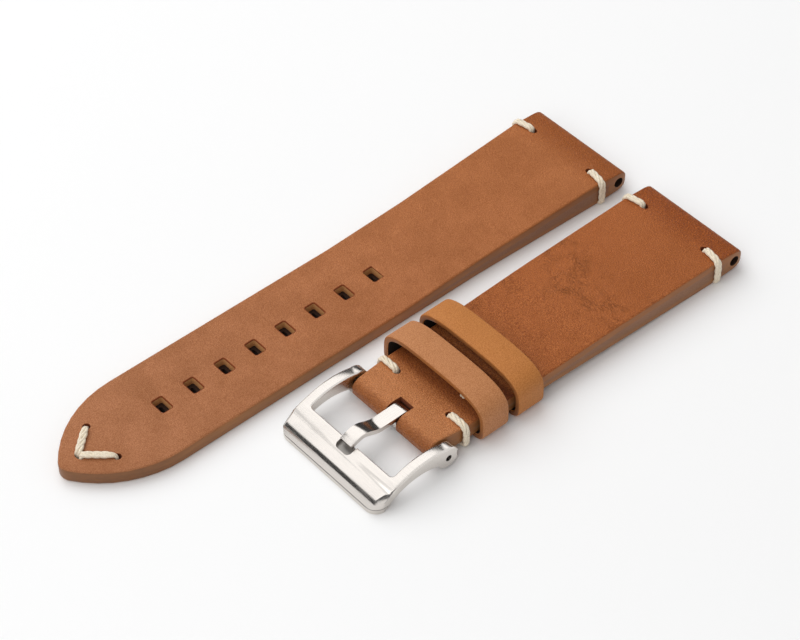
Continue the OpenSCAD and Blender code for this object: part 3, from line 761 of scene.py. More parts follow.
def materials():
    """The strap's finishes by name, all built the first time that one is asked for."""
    if not FINISHES:
        strap, tail, keeper, steel = [paint(name) for name in (
            "strap_leather", "tail_leather", "keeper_leather", "steel")]
        FINISHES.update({
            "tail_leather": outer_leather(
                "tail_grain", tail, TAIL_PLACE, 0.14, 1.0, 1.0, pales=(10, 110, (0.98, 1.14, 1.60))),
            "strap_leather": outer_leather(
                "strap_grain", strap, STRAP_PLACE, 0.42, 1.8, 0.6, creased=(14, 50),
                # Over x 57 to 64 the buckle half gets much paler and less saturated: a painted highlight on the top
                # of the fold.
                pales=(57, 64, (1.31, 1.75, 2.75)), sleek=(58, 63),
                # Darker spans: painted shade in the gap between the keepers (51.2 to 53.8) and under the fixed keeper
                # (54.2 to 58.9), and a darker front of the fold round the bar.
                darker_spans=((51.2, 53.8, 0.8, (0.48, 0.38, 0.28)), (54.2, 58.9, 1.6, (0.74, 0.64, 0.53)),
                        (68.6, 80, 1.7, (0.70, 0.60, 0.48)))),
            "keeper_leather": outer_leather("keeper_grain", keeper, (-40, 0), 0.08, 0.7, 0.25),
            "fixed_keeper_leather": outer_leather(
                "fixed_keeper_grain", tinted(keeper, 0.99, 1.10, 1.76), (-40, 0), 0.1, 0.78, 0.25),
            "edge_paint": painted_edge("painted_edge", paint("edge_paint"), tinted(tail, 0.86, 0.84, 0.80)),
            "keeper_edge": painted_edge("keeper_painted_edge", paint("keeper_edge"), keeper),
            # Painted shade: the keepers' flesh side is given a near-black colour.
            "keeper_inside_shade": fibrous("keeper_flesh_side_shade", paint("keeper_inside_shade")),
            "cut_leather": fibrous("cut_rim", paint("cut_leather")),
            "hole_wall": fibrous("punched_wall", paint("hole_wall")),
            # Painted shade: the bores' walls and the holes' bottoms are given a near-black colour.
            "hole_shade_leather": fibrous("bore_wall", paint("hole_shade_leather")),
            "lining_leather": fibrous("lining_grain", paint("lining")),
            "board_edge": fibrous("filler_edge", paint("board"), 0.55, 0.86),
            "cream_thread": thread_material("waxed_thread", paint("thread")),
            "buckle_steel": steel_material("polished_steel", steel, "Y", 0.16, 0.26),
            "tongue_steel": steel_material("polished_tongue", steel, "X", 0.12, 0.20),
            # Near-black steel: painted shade on the spring bar's tips in the ear holes and in the groove along the
            # front.
            "pin_shade_steel": steel_material("pin_and_groove_shade_steel", tinted(steel, 0.06), "Y", 0.4, 0.5),
            # The notch's pocket: rougher steel, and darker with painted shade.
            "pocket_shade_steel": steel_material("dull_shaded_pocket_steel", tinted(steel, 0.42), "Y", 0.3, 0.42),
            "bar_steel": steel_material("plain_steel", tinted(steel, 0.8), "Y", 0.22, 0.34),
        })
    return FINISHES


def dress(obj, *names):
    """Gives a piece its finishes, the first one on every face that has none of its own."""
    obj.data.materials.clear()
    for name in names:
        obj.data.materials.append(materials()[name])


# ---------------------------------------------------------------- leather halves


def turned_cover(name, half, stations):
    """Outer leather of a half: the round nose over the lug bore, the flap turned under it, and the cover drawn on
    through the stations. It's left in edit mode with its last end face selected."""
    lining_t = size("lining_thickness")
    wide = size("lug_width") / 2
    rows = round_rows(0, BORE_H, NOSE_R, -1, (FIRST_ANGLE, 32, 50, 68), (wide - 0.55, wide - 0.14, wide, wide))
    cover = drawn(name, rows + layer_rows(half, (0.0, 1.2, SPLIT_X), half.under, half.top))
    edit(cover)
    seam = cover_under(half)(SPLIT_X)
    split_face(cover, end_face(SPLIT_X, 1), (lining_t, seam))
    pick(cover, "FACE", end_face(SPLIT_X, 1, high=lining_t))
    draw_rows(layer_rows(half, (SPLIT_X, HEEL_X, 6.5, FLAP_X), half.under, lambda x: lining_t))
    pick(cover, "FACE", end_face(SPLIT_X, 1, low=seam))
    draw_rows(layer_rows(half, stations, cover_under(half), half.top))
    return cover


def skin_edge(half):
    """A test for edges on the visible skin of a cover: its top, its nose and its turned-under flap."""
    def is_skin(p):
        return (p.x < SPLIT_X - 0.05 or p.z > half.top(p.x) - NEAR
                or (p.x < FLAP_X + 0.05 and p.z < half.under(p.x) + NEAR))

    def test(edge):
        a, b = ends(edge)
        return is_skin(a) and is_skin(b) and not (near(a.x, FLAP_X) and near(b.x, FLAP_X))
    return test


def flatten_tip(obj, height):
    """Joins the narrow faces of the pointed tip's flat side into one, so its edge can be rounded evenly."""
    def across(edge):
        a, b = ends(edge)
        return (near(a.z, height) and near(b.z, height) and TIP_CURVE_X + 0.06 < a.x < TIP_X - NEAR
                and abs(a.x - b.x) < 0.001)
    edit(obj)
    pick(obj, "EDGE", across)
    bpy.ops.mesh.dissolve_edges(use_verts=False)
    done()


def thread_holes(places):
    """Round cutters for thread holes at x, y places; the third value stretches the hole across the strap."""
    return [rod("hole", (x, y, 2.5), THREAD_HOLE_R, 9, lying=False, stretch=stretch) for x, y, stretch in places]


def lug_holes():
    return [(3.72, side * (size("lug_width") / 2 - STITCH_INSET - 0.22), 1.3) for side in (-1, 1)]


def tip_holes():
    """The two outer holes of the V on the tip, and the one that both its legs start from."""
    reach, turn = TIP_LEG + 0.1, math.radians(TIP_TURN)
    outer = [(TIP_START + reach * math.cos(turn), side * (TIP_APART + reach * math.sin(turn)), 1.0)
             for side in (-1, 1)]
    return outer + [(TIP_START + 0.1, 0.0, 1.5)]


def punch(tighter=0.0):
    """Cutters for the eight oblong holes: one rounded peg, copied along the tail."""
    long, wide = HOLE_LONG - tighter, HOLE_WIDE - tighter
    peg = block("peg", (HOLE_X[0] - long, -wide, -1), (HOLE_X[0] + long, wide, 7))
    round_edges(peg, upright, 0.3)
    return [peg] + [copied(peg, dx=x - HOLE_X[0]) for x in HOLE_X[1:]]


def paint_sides(obj, half):
    """Gives the painted edge to the faces on a half's two long sides and round its point."""
    def test(face):
        middle = face.calc_center_median() / MM
        if abs(face.normal.z) > 0.55 or abs(middle.y) < 0.2 and middle.x < 100:
            return False
        return middle.x > -1.9 and abs(middle.y) > half.width(middle.x) - 0.25 and (
            abs(face.normal.y) > 0.5 or middle.x > 96)
    give_faces(obj, "edge_paint", test)


class STRAP_OT_tail_half(bpy.types.Operator):
    """Outer leather, filler and lining of the punched tail half"""

    bl_idname = "strap.tail_half"
    bl_label = "Tail half"

    def execute(self, context):
        lining_t, edge = size("lining_thickness"), size("edge_round")

        cover = turned_cover("tail_outer_leather", TAIL, TAIL_STATIONS)
        flatten_tip(cover, tail_top(TIP_X))
        round_edges(cover, skin_edge(TAIL), edge)
        dress(cover, "tail_leather", "edge_paint", "cut_leather")
        paint_sides(cover, TAIL)
        # The bore's wall gets the near-black painted shade.
        cut(cover, [rod("bore", (0, 0, BORE_H), BORE_R, BORE_CUT)], "hole_shade_leather")
        cut(cover, punch(), "hole_wall")
        cut(cover, thread_holes(lug_holes() + tip_holes()), "cut_leather")

        def rim(edge_):
            return all(p.z > tail_top(p.x) - 0.05 and abs(p.y) < 1.8 and any(abs(p.x - x) < 1.3 for x in HOLE_X)
                       for p in ends(edge_))

        def worn(face):
            middle = face.calc_center_median() / MM
            return abs(middle.y) < 1.8 and 0.1 < face.normal.z < 0.93 and 47 < middle.x < 95
        round_edges(cover, rim, 0.2, 2)
        give_faces(cover, "cut_leather", worn)
        settle(cover, "tail_cover", "tail_half")

        under_cover = cover_under(TAIL)
        filler = drawn("tail_filler_board", layer_rows(
            TAIL, (SPLIT_X, HEEL_X, 4.6, 5.4, FLAP_X, 14, 20, 27, TAIL_NARROW_X, 40, 49.9),
            lambda x: lining_t, lambda x: max(under_cover(x), lining_t + 0.02)))
        dress(filler, "board_edge", "cut_leather")
        cut(filler, punch() + thread_holes(lug_holes()), "cut_leather")
        settle(filler, "tail_filler", "tail_half")

        lining = drawn("tail_lining_leather", layer_rows(
            TAIL, TAIL_STATIONS[5:], lambda x: 0, lambda x: lining_t))
        flatten_tip(lining, 0)
        round_edges(lining, under_edge(TAIL, FLAP_X), edge)
        dress(lining, "lining_leather", "edge_paint", "hole_shade_leather")
        paint_sides(lining, TAIL)
        # The lining's holes are narrower, and its hole walls and top faces get the near-black painted shade seen down
        # the punched holes.
        cut(lining, punch(0.66) + thread_holes(tip_holes()), "hole_shade_leather")
        give_faces(lining, "hole_shade_leather", lambda f: f.normal.z > 0.9)
        settle(lining, "tail_lining", "tail_half")
        return {"FINISHED"}


def fold_rows():
    """Rows of the leather folded round the spring bar, from the pocket's end to the round front."""
    return (layer_rows(STRAP, (POCKET_X, NECK_X, 63.0, 65.0, BAR_X), strap_under, strap_top)
            + round_rows(BAR_X, BAR_H, FOLD_R, 1, (68, 50, 32, FIRST_ANGLE), (FOLD_HALF,) * 4))


class STRAP_OT_buckle_half(bpy.types.Operator):
    """Outer leather, filler and lining of the half that carries the buckle"""

    bl_idname = "strap.buckle_half"
    bl_label = "Buckle half"

    def execute(self, context):
        lining_t, edge = size("lining_thickness"), size("edge_round")
        pocket_low = KEEPER_UNDER + lining_t
        pocket_high = KEEPER_TOP - size("cover_thickness")

        nose = turned_cover("strap_outer_leather", STRAP, STRAP_STATIONS)
        bpy.ops.mesh.delete(type="ONLY_FACE")
        done()
        fold = drawn("fold", fold_rows())
        edit(fold)
        split_face(fold, end_face(POCKET_X, -1), (pocket_low, pocket_high))
        pick(fold, "FACE", end_face(POCKET_X, -1, low=pocket_high))
        bpy.ops.mesh.delete(type="ONLY_FACE")
        pick(fold, "FACE", end_face(POCKET_X, -1, high=pocket_low))
        draw_rows(layer_rows(STRAP, (POCKET_X, 57, RETURN_X), strap_under, lambda x: strap_under(x) + lining_t))
        done()
        cover = joined([nose, fold], "strap_outer_leather")
        close(cover)

        on_nose = skin_edge(STRAP)

        def skin(edge_):
            a, b = ends(edge_)
            first, last = min(a.x, b.x), max(a.x, b.x)
            below = all(p.z < strap_under(p.x) + NEAR for p in (a, b))
            return on_nose(edge_) or first > BAR_X - 0.05 or (
                first > RETURN_X - 0.05 and last > RETURN_X + 0.1 and below)
        round_edges(cover, skin, edge)
        dress(cover, "strap_leather", "edge_paint", "cut_leather")
        paint_sides(cover, STRAP)
        # The bores' walls get the near-black painted shade.
        cut(cover, [rod("bore", (0, 0, BORE_H), BORE_R, BORE_CUT)], "hole_shade_leather")
        cut(cover, [rod("bar_bore", (BAR_X, 0, BAR_H), BORE_R, BORE_CUT)], "hole_shade_leather")
        cut(cover, [block("slot", (BAR_X - 1.8, -1.6, -1), (BAR_X + 4, 1.6, 8))], "cut_leather")
        cut(cover, [rod("eye_room", (BAR_X, 0, BAR_H), 2.05, 3.2, sides=48)], "cut_leather")
        fold_holes = [(FOLD_STITCH_X, side * (fold_stitch_y() - 0.12), 1.15) for side in (-1, 1)]
        cut(cover, thread_holes(lug_holes() + fold_holes), "cut_leather")
        settle(cover, "buckle_half_cover")

        def lining_top(x):
            return along(x, [(FLAP_X, lining_t + 0.034), (SLOPE_X, pocket_low)])
        filler = drawn("strap_filler_board", layer_rows(
            STRAP, STRAP_STATIONS[:4] + [7.9] + STRAP_STATIONS[4:],
            lambda x: lining_t if x < 8 else lining_top(x), cover_under(STRAP)))
        dress(filler, "board_edge", "cut_leather")
        cut(filler, thread_holes(lug_holes()), "cut_leather")
        settle(filler, "buckle_half_filler")

        lining = drawn("strap_lining_leather", layer_rows(
            STRAP, (FLAP_X, 16, 23, 29.5, 38, 43.6, 46.2, RETURN_X), strap_under, lining_top))
        round_edges(lining, under_edge(STRAP, FLAP_X, RETURN_X), edge)
        dress(lining, "lining_leather", "edge_paint")
        paint_sides(lining, STRAP)
        settle(lining, "buckle_half_lining")
        return {"FINISHED"}


# ---------------------------------------------------------------- keepers


class STRAP_OT_keepers(bpy.types.Operator):
    """The fixed keeper and the floating keeper"""

    bl_idname = "strap.keepers"
    bl_label = "Keepers"

    def execute(self, context):
        ring = keeper_ring("keeper_ring", size("keeper_width"), size("keeper_thickness"))
        for node, x, lift, body, grain in (
                ("fixed_keeper", 56.5, 0.15, "buckle_half", "fixed_keeper_leather"),
                ("floating_keeper", 48.7, 0.0, "floating_keeper", "keeper_leather")):
            keeper = renamed(copied(ring, dx=x, dy=KEEPER_Y, dz=lift), f"{node}_band")
            dress(keeper, grain, "keeper_edge", "keeper_inside_shade")
            give_faces(keeper, "keeper_edge", lambda f: abs(f.normal.x) > 0.8)

            def inner(face):
                middle = face.calc_center_median() / MM
                towards = Vector((0, KEEPER_Y - middle.y, 4.3 - middle.z))
                return abs(face.normal.x) < 0.5 and face.normal.dot(towards) > 0.0
            # The inner faces get the near-black painted shade.
            give_faces(keeper, "keeper_inside_shade", inner)
            settle(keeper, node, body, 50)
        remove(ring)
        return {"FINISHED"}


def keeper_ring(name, width, wall):
    """A keeper's band round the x axis, centred on x = 0, standing on z = 0."""
    half, arch, side = KEEPER_HALF, KEEPER_ARCH, KEEPER_SIDE
    deselect()
    bpy.ops.mesh.primitive_plane_add(size=1, location=(-width / 2 * MM, 0, half / 2 * MM),
                                     rotation=(0, -math.pi / 2, 0))
    ring = named(name, (half * MM, 2 * half * MM, 1))
    edit(ring)
    pick(ring, "VERT", lambda v: v.co.z > 0.5 * half * MM)
    bpy.ops.mesh.bevel(offset=half * 0.999 * MM, segments=22, profile=0.665, affect="VERTICES")
    pick_all()
    bpy.ops.transform.resize(value=(1, 1, arch / half), center_override=(0, 0, 0))
    bpy.ops.transform.translate(value=(0, 0, side * MM))

    def springing(edge):
        a, b = ends(edge)
        return abs(a.z - side) < 0.003 and abs(b.z - side) < 0.003 and abs(a.y - b.y) > half
    pick(ring, "EDGE", springing)
    extrude(0, -side)
    pick(ring, "VERT", lambda v: v.co.z < 1e-6)
    bpy.ops.mesh.bevel(offset=2.2 * MM, segments=6, affect="VERTICES")
    pick_all()
    bpy.ops.mesh.remove_doubles(threshold=2e-6)
    pick(ring, "EDGE", lambda e: len(e.link_faces) == 2)
    bpy.ops.mesh.dissolve_edges(use_verts=False)
    pick(ring, "FACE", lambda f: True)
    bpy.ops.mesh.delete(type="ONLY_FACE")
    bpy.ops.mesh.select_mode(type="EDGE")
    pick_all()
    extrude(width, 0)
    pick_all()
    bpy.ops.mesh.normals_make_consistent(inside=False)
    done()
    modify(ring, "SOLIDIFY", thickness=wall * MM, offset=-1, use_even_offset=True)
    close(ring)
    bevel_all(ring, 0.3, 60)
    return ring


# ---------------------------------------------------------------- thread and coil


def swept(name, points, radius, resolution, cyclic):
    """A tube along points of x, y, z and share of the radius; an open one gets closed ends."""
    curve = bpy.data.curves.new(name, "CURVE")
    curve.dimensions = "3D"
    curve.bevel_depth = radius * MM
    curve.bevel_resolution = resolution
    curve.use_fill_caps = not cyclic
    spline = curve.splines.new("POLY")
    spline.points.add(len(points) - 1)
    spline.use_cyclic_u = cyclic
    for point, (x, y, z, share) in zip(spline.points, points):
        point.co = (x * MM, y * MM, z * MM, 1)
        point.radius = share
    tube = bpy.data.objects.new(name, curve)
    bpy.context.collection.objects.link(tube)
    only(tube)
    bpy.ops.object.convert(target="MESH")
    return bpy.context.object


def box_loop(reach, low, high, bend, outer_bend):
    """Points of a loop in an upright plane: over the top, down the outside and back along the underside."""
    points = []
    for x, z, radius, start in (
            (bend, high - bend, bend, 180), (reach - outer_bend, high - outer_bend, outer_bend, 90),
            (reach - bend, low + bend, bend, 0), (bend, low + bend, bend, -90)):
        for turned in range(0, 91, 18):
            angle = math.radians(start - turned)
            points.append((x + radius * math.cos(angle), z + radius * math.sin(angle)))
    return points


def even_points(points, count):
    """Places at equal steps along the closed line through points, and the line's length."""
    closed = points + [points[0]]
    lengths = [0.0]
    for a, b in zip(closed, closed[1:]):
        lengths.append(lengths[-1] + math.dist(a, b))
    out = []
    for i in range(count):
        s = lengths[-1] * i / count
        k = max(j for j in range(len(lengths) - 1) if lengths[j] <= s + 1e-9)
        step = lengths[k + 1] - lengths[k]
        t = 0.0 if step < 1e-9 else (s - lengths[k]) / step
        out.append(tuple(closed[k][m] + (closed[k + 1][m] - closed[k][m]) * t for m in (0, 1)))
    return out, lengths[-1]


def thread_loop(name, loop, pinch=0.0):
    """A flattened cord of twisted plies that follows a closed loop in the xz plane; pinch is the share by which it
    narrows into the hole at its far end."""
    wide, thick = size("thread_width"), size("thread_thickness")
    points, length = even_points(loop, max(48, int(sum(math.dist(a, b) for a, b in zip(loop, loop[1:])) * 7)))
    turns, count = max(1, round(length / TWIST)), len(points)
    ply_r = thick * 0.37
    pinch_start = max(x for x, _ in loop) - 1.5
    strands = []
    for ply in range(PLIES):
        line = []
        for i, (x, z) in enumerate(points):
            ax, az = points[i - 1]
            bx, bz = points[(i + 1) % count]
            run = math.hypot(bx - ax, bz - az)
            turn = 2 * math.pi * (turns * i / count + ply / PLIES)
            into_hole = min(1.0, max(0.0, (x - pinch_start) / 1.2))
            narrow = 1 - pinch * into_hole * into_hole * (3 - 2 * into_hole)
            off = (thick / 2 - ply_r) * math.sin(turn) * narrow
            across = (wide / 2 - ply_r) * math.cos(turn) * narrow
            line.append((x - (bz - az) / run * off, across, z + (bx - ax) / run * off, 0.35 + 0.65 * narrow))
        strands.append(swept(name, line, ply_r, 2, True))
    cord = joined(strands, name)
    only(cord)
    bpy.ops.object.shade_smooth()
    return cord


def sew(cord, name, x, y, degrees, node, body="buckle_half"):
    """A copy of a thread loop, turned about the upright through its hole and set at its hole."""
    new = renamed(copied(cord), name)
    new.rotation_euler = (0, 0, math.radians(degrees))
    new.location = (x * MM, y * MM, 0)
    only(new)
    freeze(scale=False)
    dress(new, "cream_thread")
    settle(new, node, body, 0)


class STRAP_OT_stitches(bpy.types.Operator):
    """Waxed thread: corner stitches, the V on the tip, the stitches behind the fold and the keeper's"""

    bl_idname = "strap.stitches"
    bl_label = "Stitches"

    def execute(self, context):
        seat = size("thread_thickness") / 2
        lug_y = size("lug_width") / 2 - STITCH_INSET
        lug = thread_loop("lug_thread", box_loop(3.86, seat + 0.05, 4.70 + seat, 0.5, 1.15))
        for side, word in SIDES:
            for half in (TAIL, STRAP):
                sew(lug, f"{half.label}_lug_thread_{word}", LUG_STITCH_X, side * lug_y, side * 80,
                    f"{half.label}_lug_stitch_{word}", half.body)
        remove(lug)

        leg = thread_loop("leg_thread", box_loop(TIP_LEG, seat + 0.05, 2.68 + seat, 0.5, 0.8), pinch=0.42)
        for side, word in SIDES:
            sew(leg, f"tip_thread_{word}", TIP_START, side * TIP_APART, side * TIP_TURN, f"tip_stitch_{word}",
                "tail_half")
        remove(leg)

        low, high = strap_under(62.3) - seat - 0.03, strap_top(FOLD_STITCH_X) + seat - 0.02
        over = thread_loop("fold_thread", box_loop(3.93, low, high, 0.5, 1.25))
        for side, word in SIDES:
            sew(over, f"fold_thread_{word}", FOLD_STITCH_X, side * fold_stitch_y(), side * 90, f"fold_stitch_{word}")
        remove(over)

        short = thread_loop("anchor_thread", box_loop(1.7, 0.6, 4.86, 0.45, 0.45))
        pair = [copied(short, dx=55.35 + side * 0.3, dy=side * 4.9) for side, _ in SIDES]
        remove(short)
        anchors = joined(pair, "keeper_anchor_thread")
        dress(anchors, "cream_thread")
        settle(anchors, "keeper_anchor_stitches", angle=0)
        return {"FINISHED"}


# ---------------------------------------------------------------- buckle


def arc_z(x, centre_x, centre_z, radius, side=1):
    """Height of a circle's upper side at x, or of its lower side where side is -1."""
    return centre_z + side * math.sqrt(max(radius * radius - (x - centre_x) ** 2, 0))


def bar_top(x):
    """Height of the buckle's domed top, with a tight turn into the steep front face."""
    for end, *arc in TOP_ARCS:
        if x <= end:
            return arc_z(x, *arc)
    return 1.9 - (x - TOP_ARCS[-1][0]) * 2.2


def frame_rows():
    """Rows of the buckle seen from the side: round ears, arched arms and a thin lip along the front."""
    rows = round_rows(BAR_X, BAR_H, EAR_R, -1, (FIRST_ANGLE, 30, 46, 62, 78), (FRAME_HALF,) * 5)
    x = BAR_X
    while x < LAST_ROW_X:
        high, low = bar_top(x), arc_z(x, 73.0, -7.2, 10)
        if x < 68.8:
            high = max(high, arc_z(x, BAR_X, BAR_H, EAR_R))
            low = min(low, arc_z(x, BAR_X, BAR_H, EAR_R, -1))
        half = FRAME_HALF
        if x > CORNER_X:
            half = CORNER_Y + math.sqrt(max(CORNER_R ** 2 - (x - CORNER_X) ** 2, 0))
        rows.append((x, half, max(low, 0.0), high))
        x += 0.4 if x < 69.2 else 0.7 if x < 79.4 else 0.2 if x < 81.1 else 0.09
    return rows + [(LIP_X, CORNER_Y, 0.0, bar_top(LIP_X))]


class STRAP_OT_buckle(bpy.types.Operator):
    """The pin buckle's frame, with its arched arms, front bar and notch"""

    bl_idname = "strap.buckle"
    bl_label = "Buckle frame"

    def execute(self, context):
        buckle = drawn("pin_buckle", frame_rows())
        half = size("tail_width") / 2
        window = block("window", (50, -half, -3), (WINDOW_X, half, 12))
        round_edges(window, lambda e: upright(e) and near(ends(e)[0].x, WINDOW_X), 0.6, 4)
        dress(buckle, "buckle_steel")
        cut(buckle, [window], "buckle_steel")
        close(buckle)
        round_edges(buckle, lambda e: all(p.x < CORNER_X for p in ends(e)), size("steel_round"), 4, math.radians(38))
        for side in (-1, 1):
            edit(buckle)
            pick_all()
            bpy.ops.mesh.bisect(plane_co=(79.7 * MM, side * FRAME_HALF * MM, 2.375 * MM),
                                plane_no=(0.40, side * 0.733, 0.55), use_fill=True, clear_outer=True)
            done()
        groove = block("groove", (79.6, -13, 0.86), (84, 13, 0.97))
        inside = block("inside", (60, -11.87, -1), (82.27, 11.87, 3))
        round_edges(inside, lambda e: upright(e) and ends(e)[0].x > 80, 2.07, 10)
        cut(groove, [inside])
        # The groove's walls get the near-black steel: painted shade.
        cut(buckle, [groove], "pin_shade_steel")
        cut(buckle, [rod("ear_hole", (BAR_X, 0, BAR_H), 0.6, 40)], "buckle_steel")
        notch = block("notch", (-3, -1.7, -0.8), (2.25, 1.7, 5.5))
        round_edges(notch, lambda e: upright(e) and ends(e)[0].x > 0, 0.85, 8)
        notch.rotation_euler = (0, math.radians(12), 0)
        notch.location = (WINDOW_X * MM, 0, bar_top(WINDOW_X) * MM)
        only(notch)
        freeze(scale=False)
        # The pocket's walls: rougher steel, darker with painted shade.
        cut(buckle, [notch], "pocket_shade_steel")
        close(buckle)
        settle(buckle, "buckle_frame", "buckle_frame", 40)
        return {"FINISHED"}


def tongue_path():
    """Middle line of the tongue's strip, from its slit round the spring bar to its tip, in x and z."""
    eye = [(BAR_X + EYE_R * math.cos(math.radians(a)), BAR_H + EYE_R * math.sin(math.radians(a)))
           for a in range(26, -270, -12)]
    line = []
    for a, b, c, d in zip(TONGUE_GUIDE, TONGUE_GUIDE[1:], TONGUE_GUIDE[2:], TONGUE_GUIDE[3:]):
        for i in range(6):
            t = i / 6
            line.append(tuple(0.5 * (2 * b[m] + (c[m] - a[m]) * t + (2 * a[m] - 5 * b[m] + 4 * c[m] - d[m]) * t * t
                                     + (3 * b[m] - a[m] - 3 * c[m] + d[m]) * t ** 3) for m in (0, 1)))
    return [p for p in eye if p[0] < BAR_X - NEAR or p[1] < BAR_H + 0.9] + line + [TONGUE_GUIDE[-2]]


class STRAP_OT_tongue(bpy.types.Operator):
    """The buckle's tongue: a strip bent round the spring bar, with a kink that drops into the notch"""

    bl_idname = "strap.tongue"
    bl_label = "Tongue"

    def execute(self, context):
        path = tongue_path()
        start, end = path[0], path[-1]
        deselect()
        bpy.ops.mesh.primitive_plane_add(size=2 * TONGUE_HALF * MM, location=(start[0] * MM, 0, start[1] * MM))
        tongue = named("buckle_pin")
        edit(tongue)
        pick(tongue, "VERT", lambda v: v.co.x > start[0] * MM)
        bpy.ops.mesh.delete(type="VERT")
        pick_all()
        bpy.ops.transform.translate(value=(TONGUE_HALF * MM, 0, 0))
        for (xa, za), (xb, zb) in zip(path, path[1:]):
            extrude(xb - xa, zb - za)
        done()
        modify(tongue, "SOLIDIFY", thickness=0.9 * MM, offset=0, use_even_offset=True)
        close(tongue)
        edit(tongue)
        pick(tongue, "VERT", lambda v: v.co.x / MM > end[0] - 0.23 and v.co.z / MM < end[1])
        bpy.ops.transform.translate(value=(-0.08 * MM, 0, -0.42 * MM))

        def tip(edge):
            a, b = ends(edge)
            return min(a.x, b.x) > end[0] and min(a.z, b.z) > end[1] and abs(a.y - b.y) > 1
        round_edges(tongue, tip, 0.26, sharp=0)
        bevel_all(tongue, 0.14, 45)
        dress(tongue, "tongue_steel")
        settle(tongue, "buckle_tongue", "buckle_tongue", 40)
        return {"FINISHED"}


def coil_half(name, side):
    """One half of the coil, wound from the middle of the spring bar towards the tip on this side."""
    turns, per_turn = 6, 16
    count = turns * per_turn
    points = []
    for i in range(count + 1):
        turn = 2 * math.pi * i / per_turn
        points.append((BAR_X + COIL_R * math.cos(turn), side * (0.1 + (COIL_REACH - 0.2) * i / count),
                       BAR_H + COIL_R * math.sin(turn), 1.0))
    coil = swept(name, points, 0.1, 1, False)
    close(coil)
    return coil


class STRAP_OT_spring_bar(bpy.types.Operator):
    """The hidden spring bar: a coil in two halves that its tips press together, and steel for its tube and tips"""

    bl_idname = "strap.spring_bar"
    bl_label = "Spring bar"

    def execute(self, context):
        for side, word in SIDES:
            coil = coil_half(f"bar_coil_{word}", side)
            dress(coil, "bar_steel")
            settle(coil, "spring_bar_spring", angle=60)
            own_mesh(coil)
        # The spring bar's tips get the near-black steel: painted shade in the ear holes.
        for node, finish in (("spring_bar_tube", "bar_steel"), ("spring_bar_tip_near", "pin_shade_steel"),
                             ("spring_bar_tip_far", "pin_shade_steel")):
            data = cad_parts[node].data
            if not data.materials:
                data.materials.append(materials()[finish])
            for i in range(len(data.materials)):
                data.materials[i] = materials()[finish]
        return {"FINISHED"}


# ---------------------------------------------------------------- stage


def soft_box(name, location, aim, width, length, watts):
    """A large rectangular lamp that faces aim."""
    deselect()
    bpy.ops.object.light_add(type="AREA", location=location)
    lamp = bpy.context.object
    lamp.name = name
    lamp.data.shape = "RECTANGLE"
    lamp.data.size = width
    lamp.data.size_y = length
    lamp.data.energy = watts
    lamp.rotation_euler = (Vector(aim) - Vector(location)).to_track_quat("-Z", "Y").to_euler()
    return lamp


def subdivide(obj, cuts):
    edit(obj)
    bpy.ops.mesh.subdivide(number_cuts=cuts)
    done()


def dark_card(name, dx, dy, width, low, high):
    """A dark card beside the stage that only the steel mirrors; it faces the strap and casts no shadow."""
    deselect()
    centre = Vector((MIDDLE[0] + dx, MIDDLE[1] + dy, (low + high) / 2))
    turn = (Vector((*MIDDLE[:2], centre.z)) - centre).to_track_quat("Z", "Y").to_euler()
    bpy.ops.mesh.primitive_plane_add(size=1, location=centre, rotation=turn)
    card = named(name, (width, high - low, 1))
    subdivide(card, 2)
    material, n, shader = new_material(name)
    felt = n.mix(n.noise(n.place(), 60, 3, 0.6), (0.02, 0.02, 0.021, 1), (0.05, 0.05, 0.052, 1))
    shade(n, shader, felt, 0.9, {})
    card.data.materials.append(material)
    card.visible_camera = card.visible_diffuse = card.visible_shadow = False


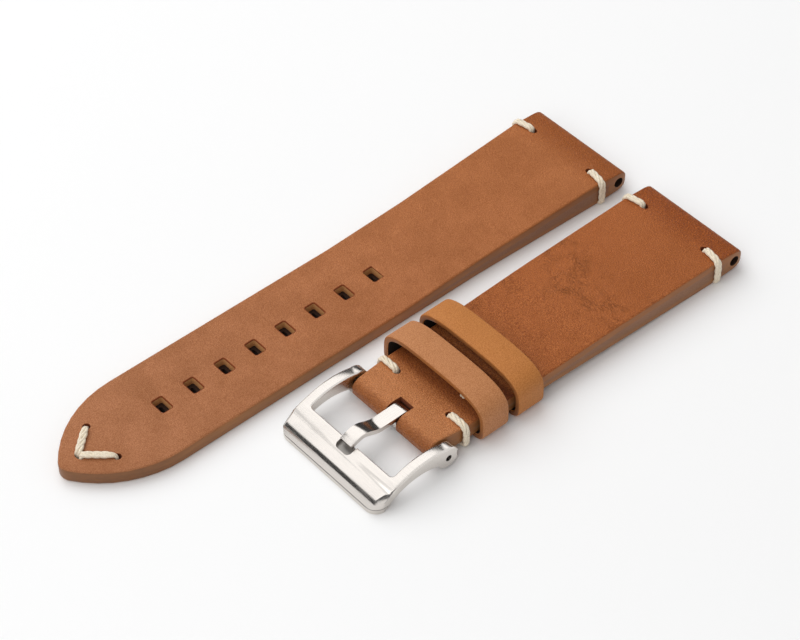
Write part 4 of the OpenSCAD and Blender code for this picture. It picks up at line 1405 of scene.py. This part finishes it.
class STRAP_OT_stage(bpy.types.Operator):
    """Pale floor, soft light and the camera"""

    bl_idname = "strap.stage"
    bl_label = "Stage"

    def execute(self, context):
        deselect()
        bpy.ops.mesh.primitive_plane_add(size=6, location=(0, 0, TABLE_Z - 0.00002))
        floor = renamed(context.object, "floor")
        subdivide(floor, 3)
        material, n, shader = new_material("floor_paper")
        where, colour = n.place(), paint("floor")
        shade(n, shader, n.mix(n.noise(where, 14), tinted(colour, 0.985), colour),
              n.ramp(n.noise(where, 400), 0.3, 0.7, 0.75, 0.85), {"Specular IOR Level": 0.1})
        floor.data.materials.append(material)

        world = bpy.data.worlds.new("studio")
        context.scene.world = world
        world.use_nodes = True
        w = Nodes(world.node_tree)
        back = world.node_tree.nodes["Background"]
        back.inputs["Color"].default_value = (1, 1, 1, 1)
        path = w.add("ShaderNodeLightPath").outputs
        seen = w.math("MAXIMUM", path["Is Camera Ray"],
                      w.math("MAXIMUM", path["Is Glossy Ray"], path["Is Transmission Ray"]))
        w.feed(back.inputs["Strength"], w.ramp(seen, 0.0, 1.0, 0.38, 1.0, "LINEAR"))

        key = soft_box("key_light", (0.12, -0.78, 1.02), MIDDLE, 1.6, 1.5, 11.4)
        key.visible_glossy = False
        soft_box("fill_light", (0.80, 0.20, 0.75), MIDDLE, 0.9, 0.9, 3.6)
        soft_box("top_light", (-0.12, -0.50, 0.72), (0.075, 0.0, 0.003), 0.95, 0.85, 1.15)
        dark_card("dark_card_front", 0.400, -0.300, 0.75, 0.05, 0.62)
        dark_card("dark_card_back", -0.415, -0.28, 0.85, 0.02, 0.36)
        dark_card("dark_card_near", 0.171, 0.470, 0.34, 0.06, 0.30)

        bpy.ops.object.camera_add()
        camera = context.object
        camera.name = "photo_camera"
        camera.data.lens = CAMERA_LENS
        camera.data.sensor_width = 36
        camera.data.clip_start = 0.01
        camera.matrix_world = Matrix.Translation(CAMERA_PLACE) @ Matrix(CAMERA_AXES).transposed().to_4x4()
        context.scene.camera = camera
        context.scene.view_settings.view_transform = "Standard"
        return {"FINISHED"}


# ---------------------------------------------------------------- panel, registration and main


OPERATORS = (STRAP_OT_tail_half, STRAP_OT_buckle_half, STRAP_OT_keepers, STRAP_OT_stitches, STRAP_OT_buckle,
             STRAP_OT_tongue, STRAP_OT_spring_bar, STRAP_OT_stage)


class VIEW3D_PT_strap(bpy.types.Panel):
    """Sizes, colours and building steps of the watch strap"""

    bl_idname = "VIEW3D_PT_strap"
    bl_label = "Watch strap"
    bl_space_type = "VIEW_3D"
    bl_region_type = "UI"
    bl_category = "Strap"

    def draw(self, context):
        layout = self.layout
        for group in (context.scene.strap_sizes, context.scene.strap_colours):
            box = layout.box()
            for name in group.__annotations__:
                box.prop(group, name)
        for operator in OPERATORS:
            layout.operator(operator.bl_idname)


CLASSES = (StrapSizes, StrapColours) + OPERATORS + (VIEW3D_PT_strap,)


def register():
    for cls in CLASSES:
        bpy.utils.register_class(cls)
    bpy.types.Scene.strap_sizes = bpy.props.PointerProperty(type=StrapSizes)
    bpy.types.Scene.strap_colours = bpy.props.PointerProperty(type=StrapColours)


def unregister():
    del bpy.types.Scene.strap_colours
    del bpy.types.Scene.strap_sizes
    for cls in reversed(CLASSES):
        bpy.utils.unregister_class(cls)


def main():
    register()
    bpy.ops.strap.tail_half()
    bpy.ops.strap.buckle_half()
    bpy.ops.strap.keepers()
    bpy.ops.strap.stitches()
    bpy.ops.strap.buckle()
    bpy.ops.strap.tongue()
    bpy.ops.strap.spring_bar()
    bpy.ops.strap.stage()


if __name__ == "__main__":
    main()
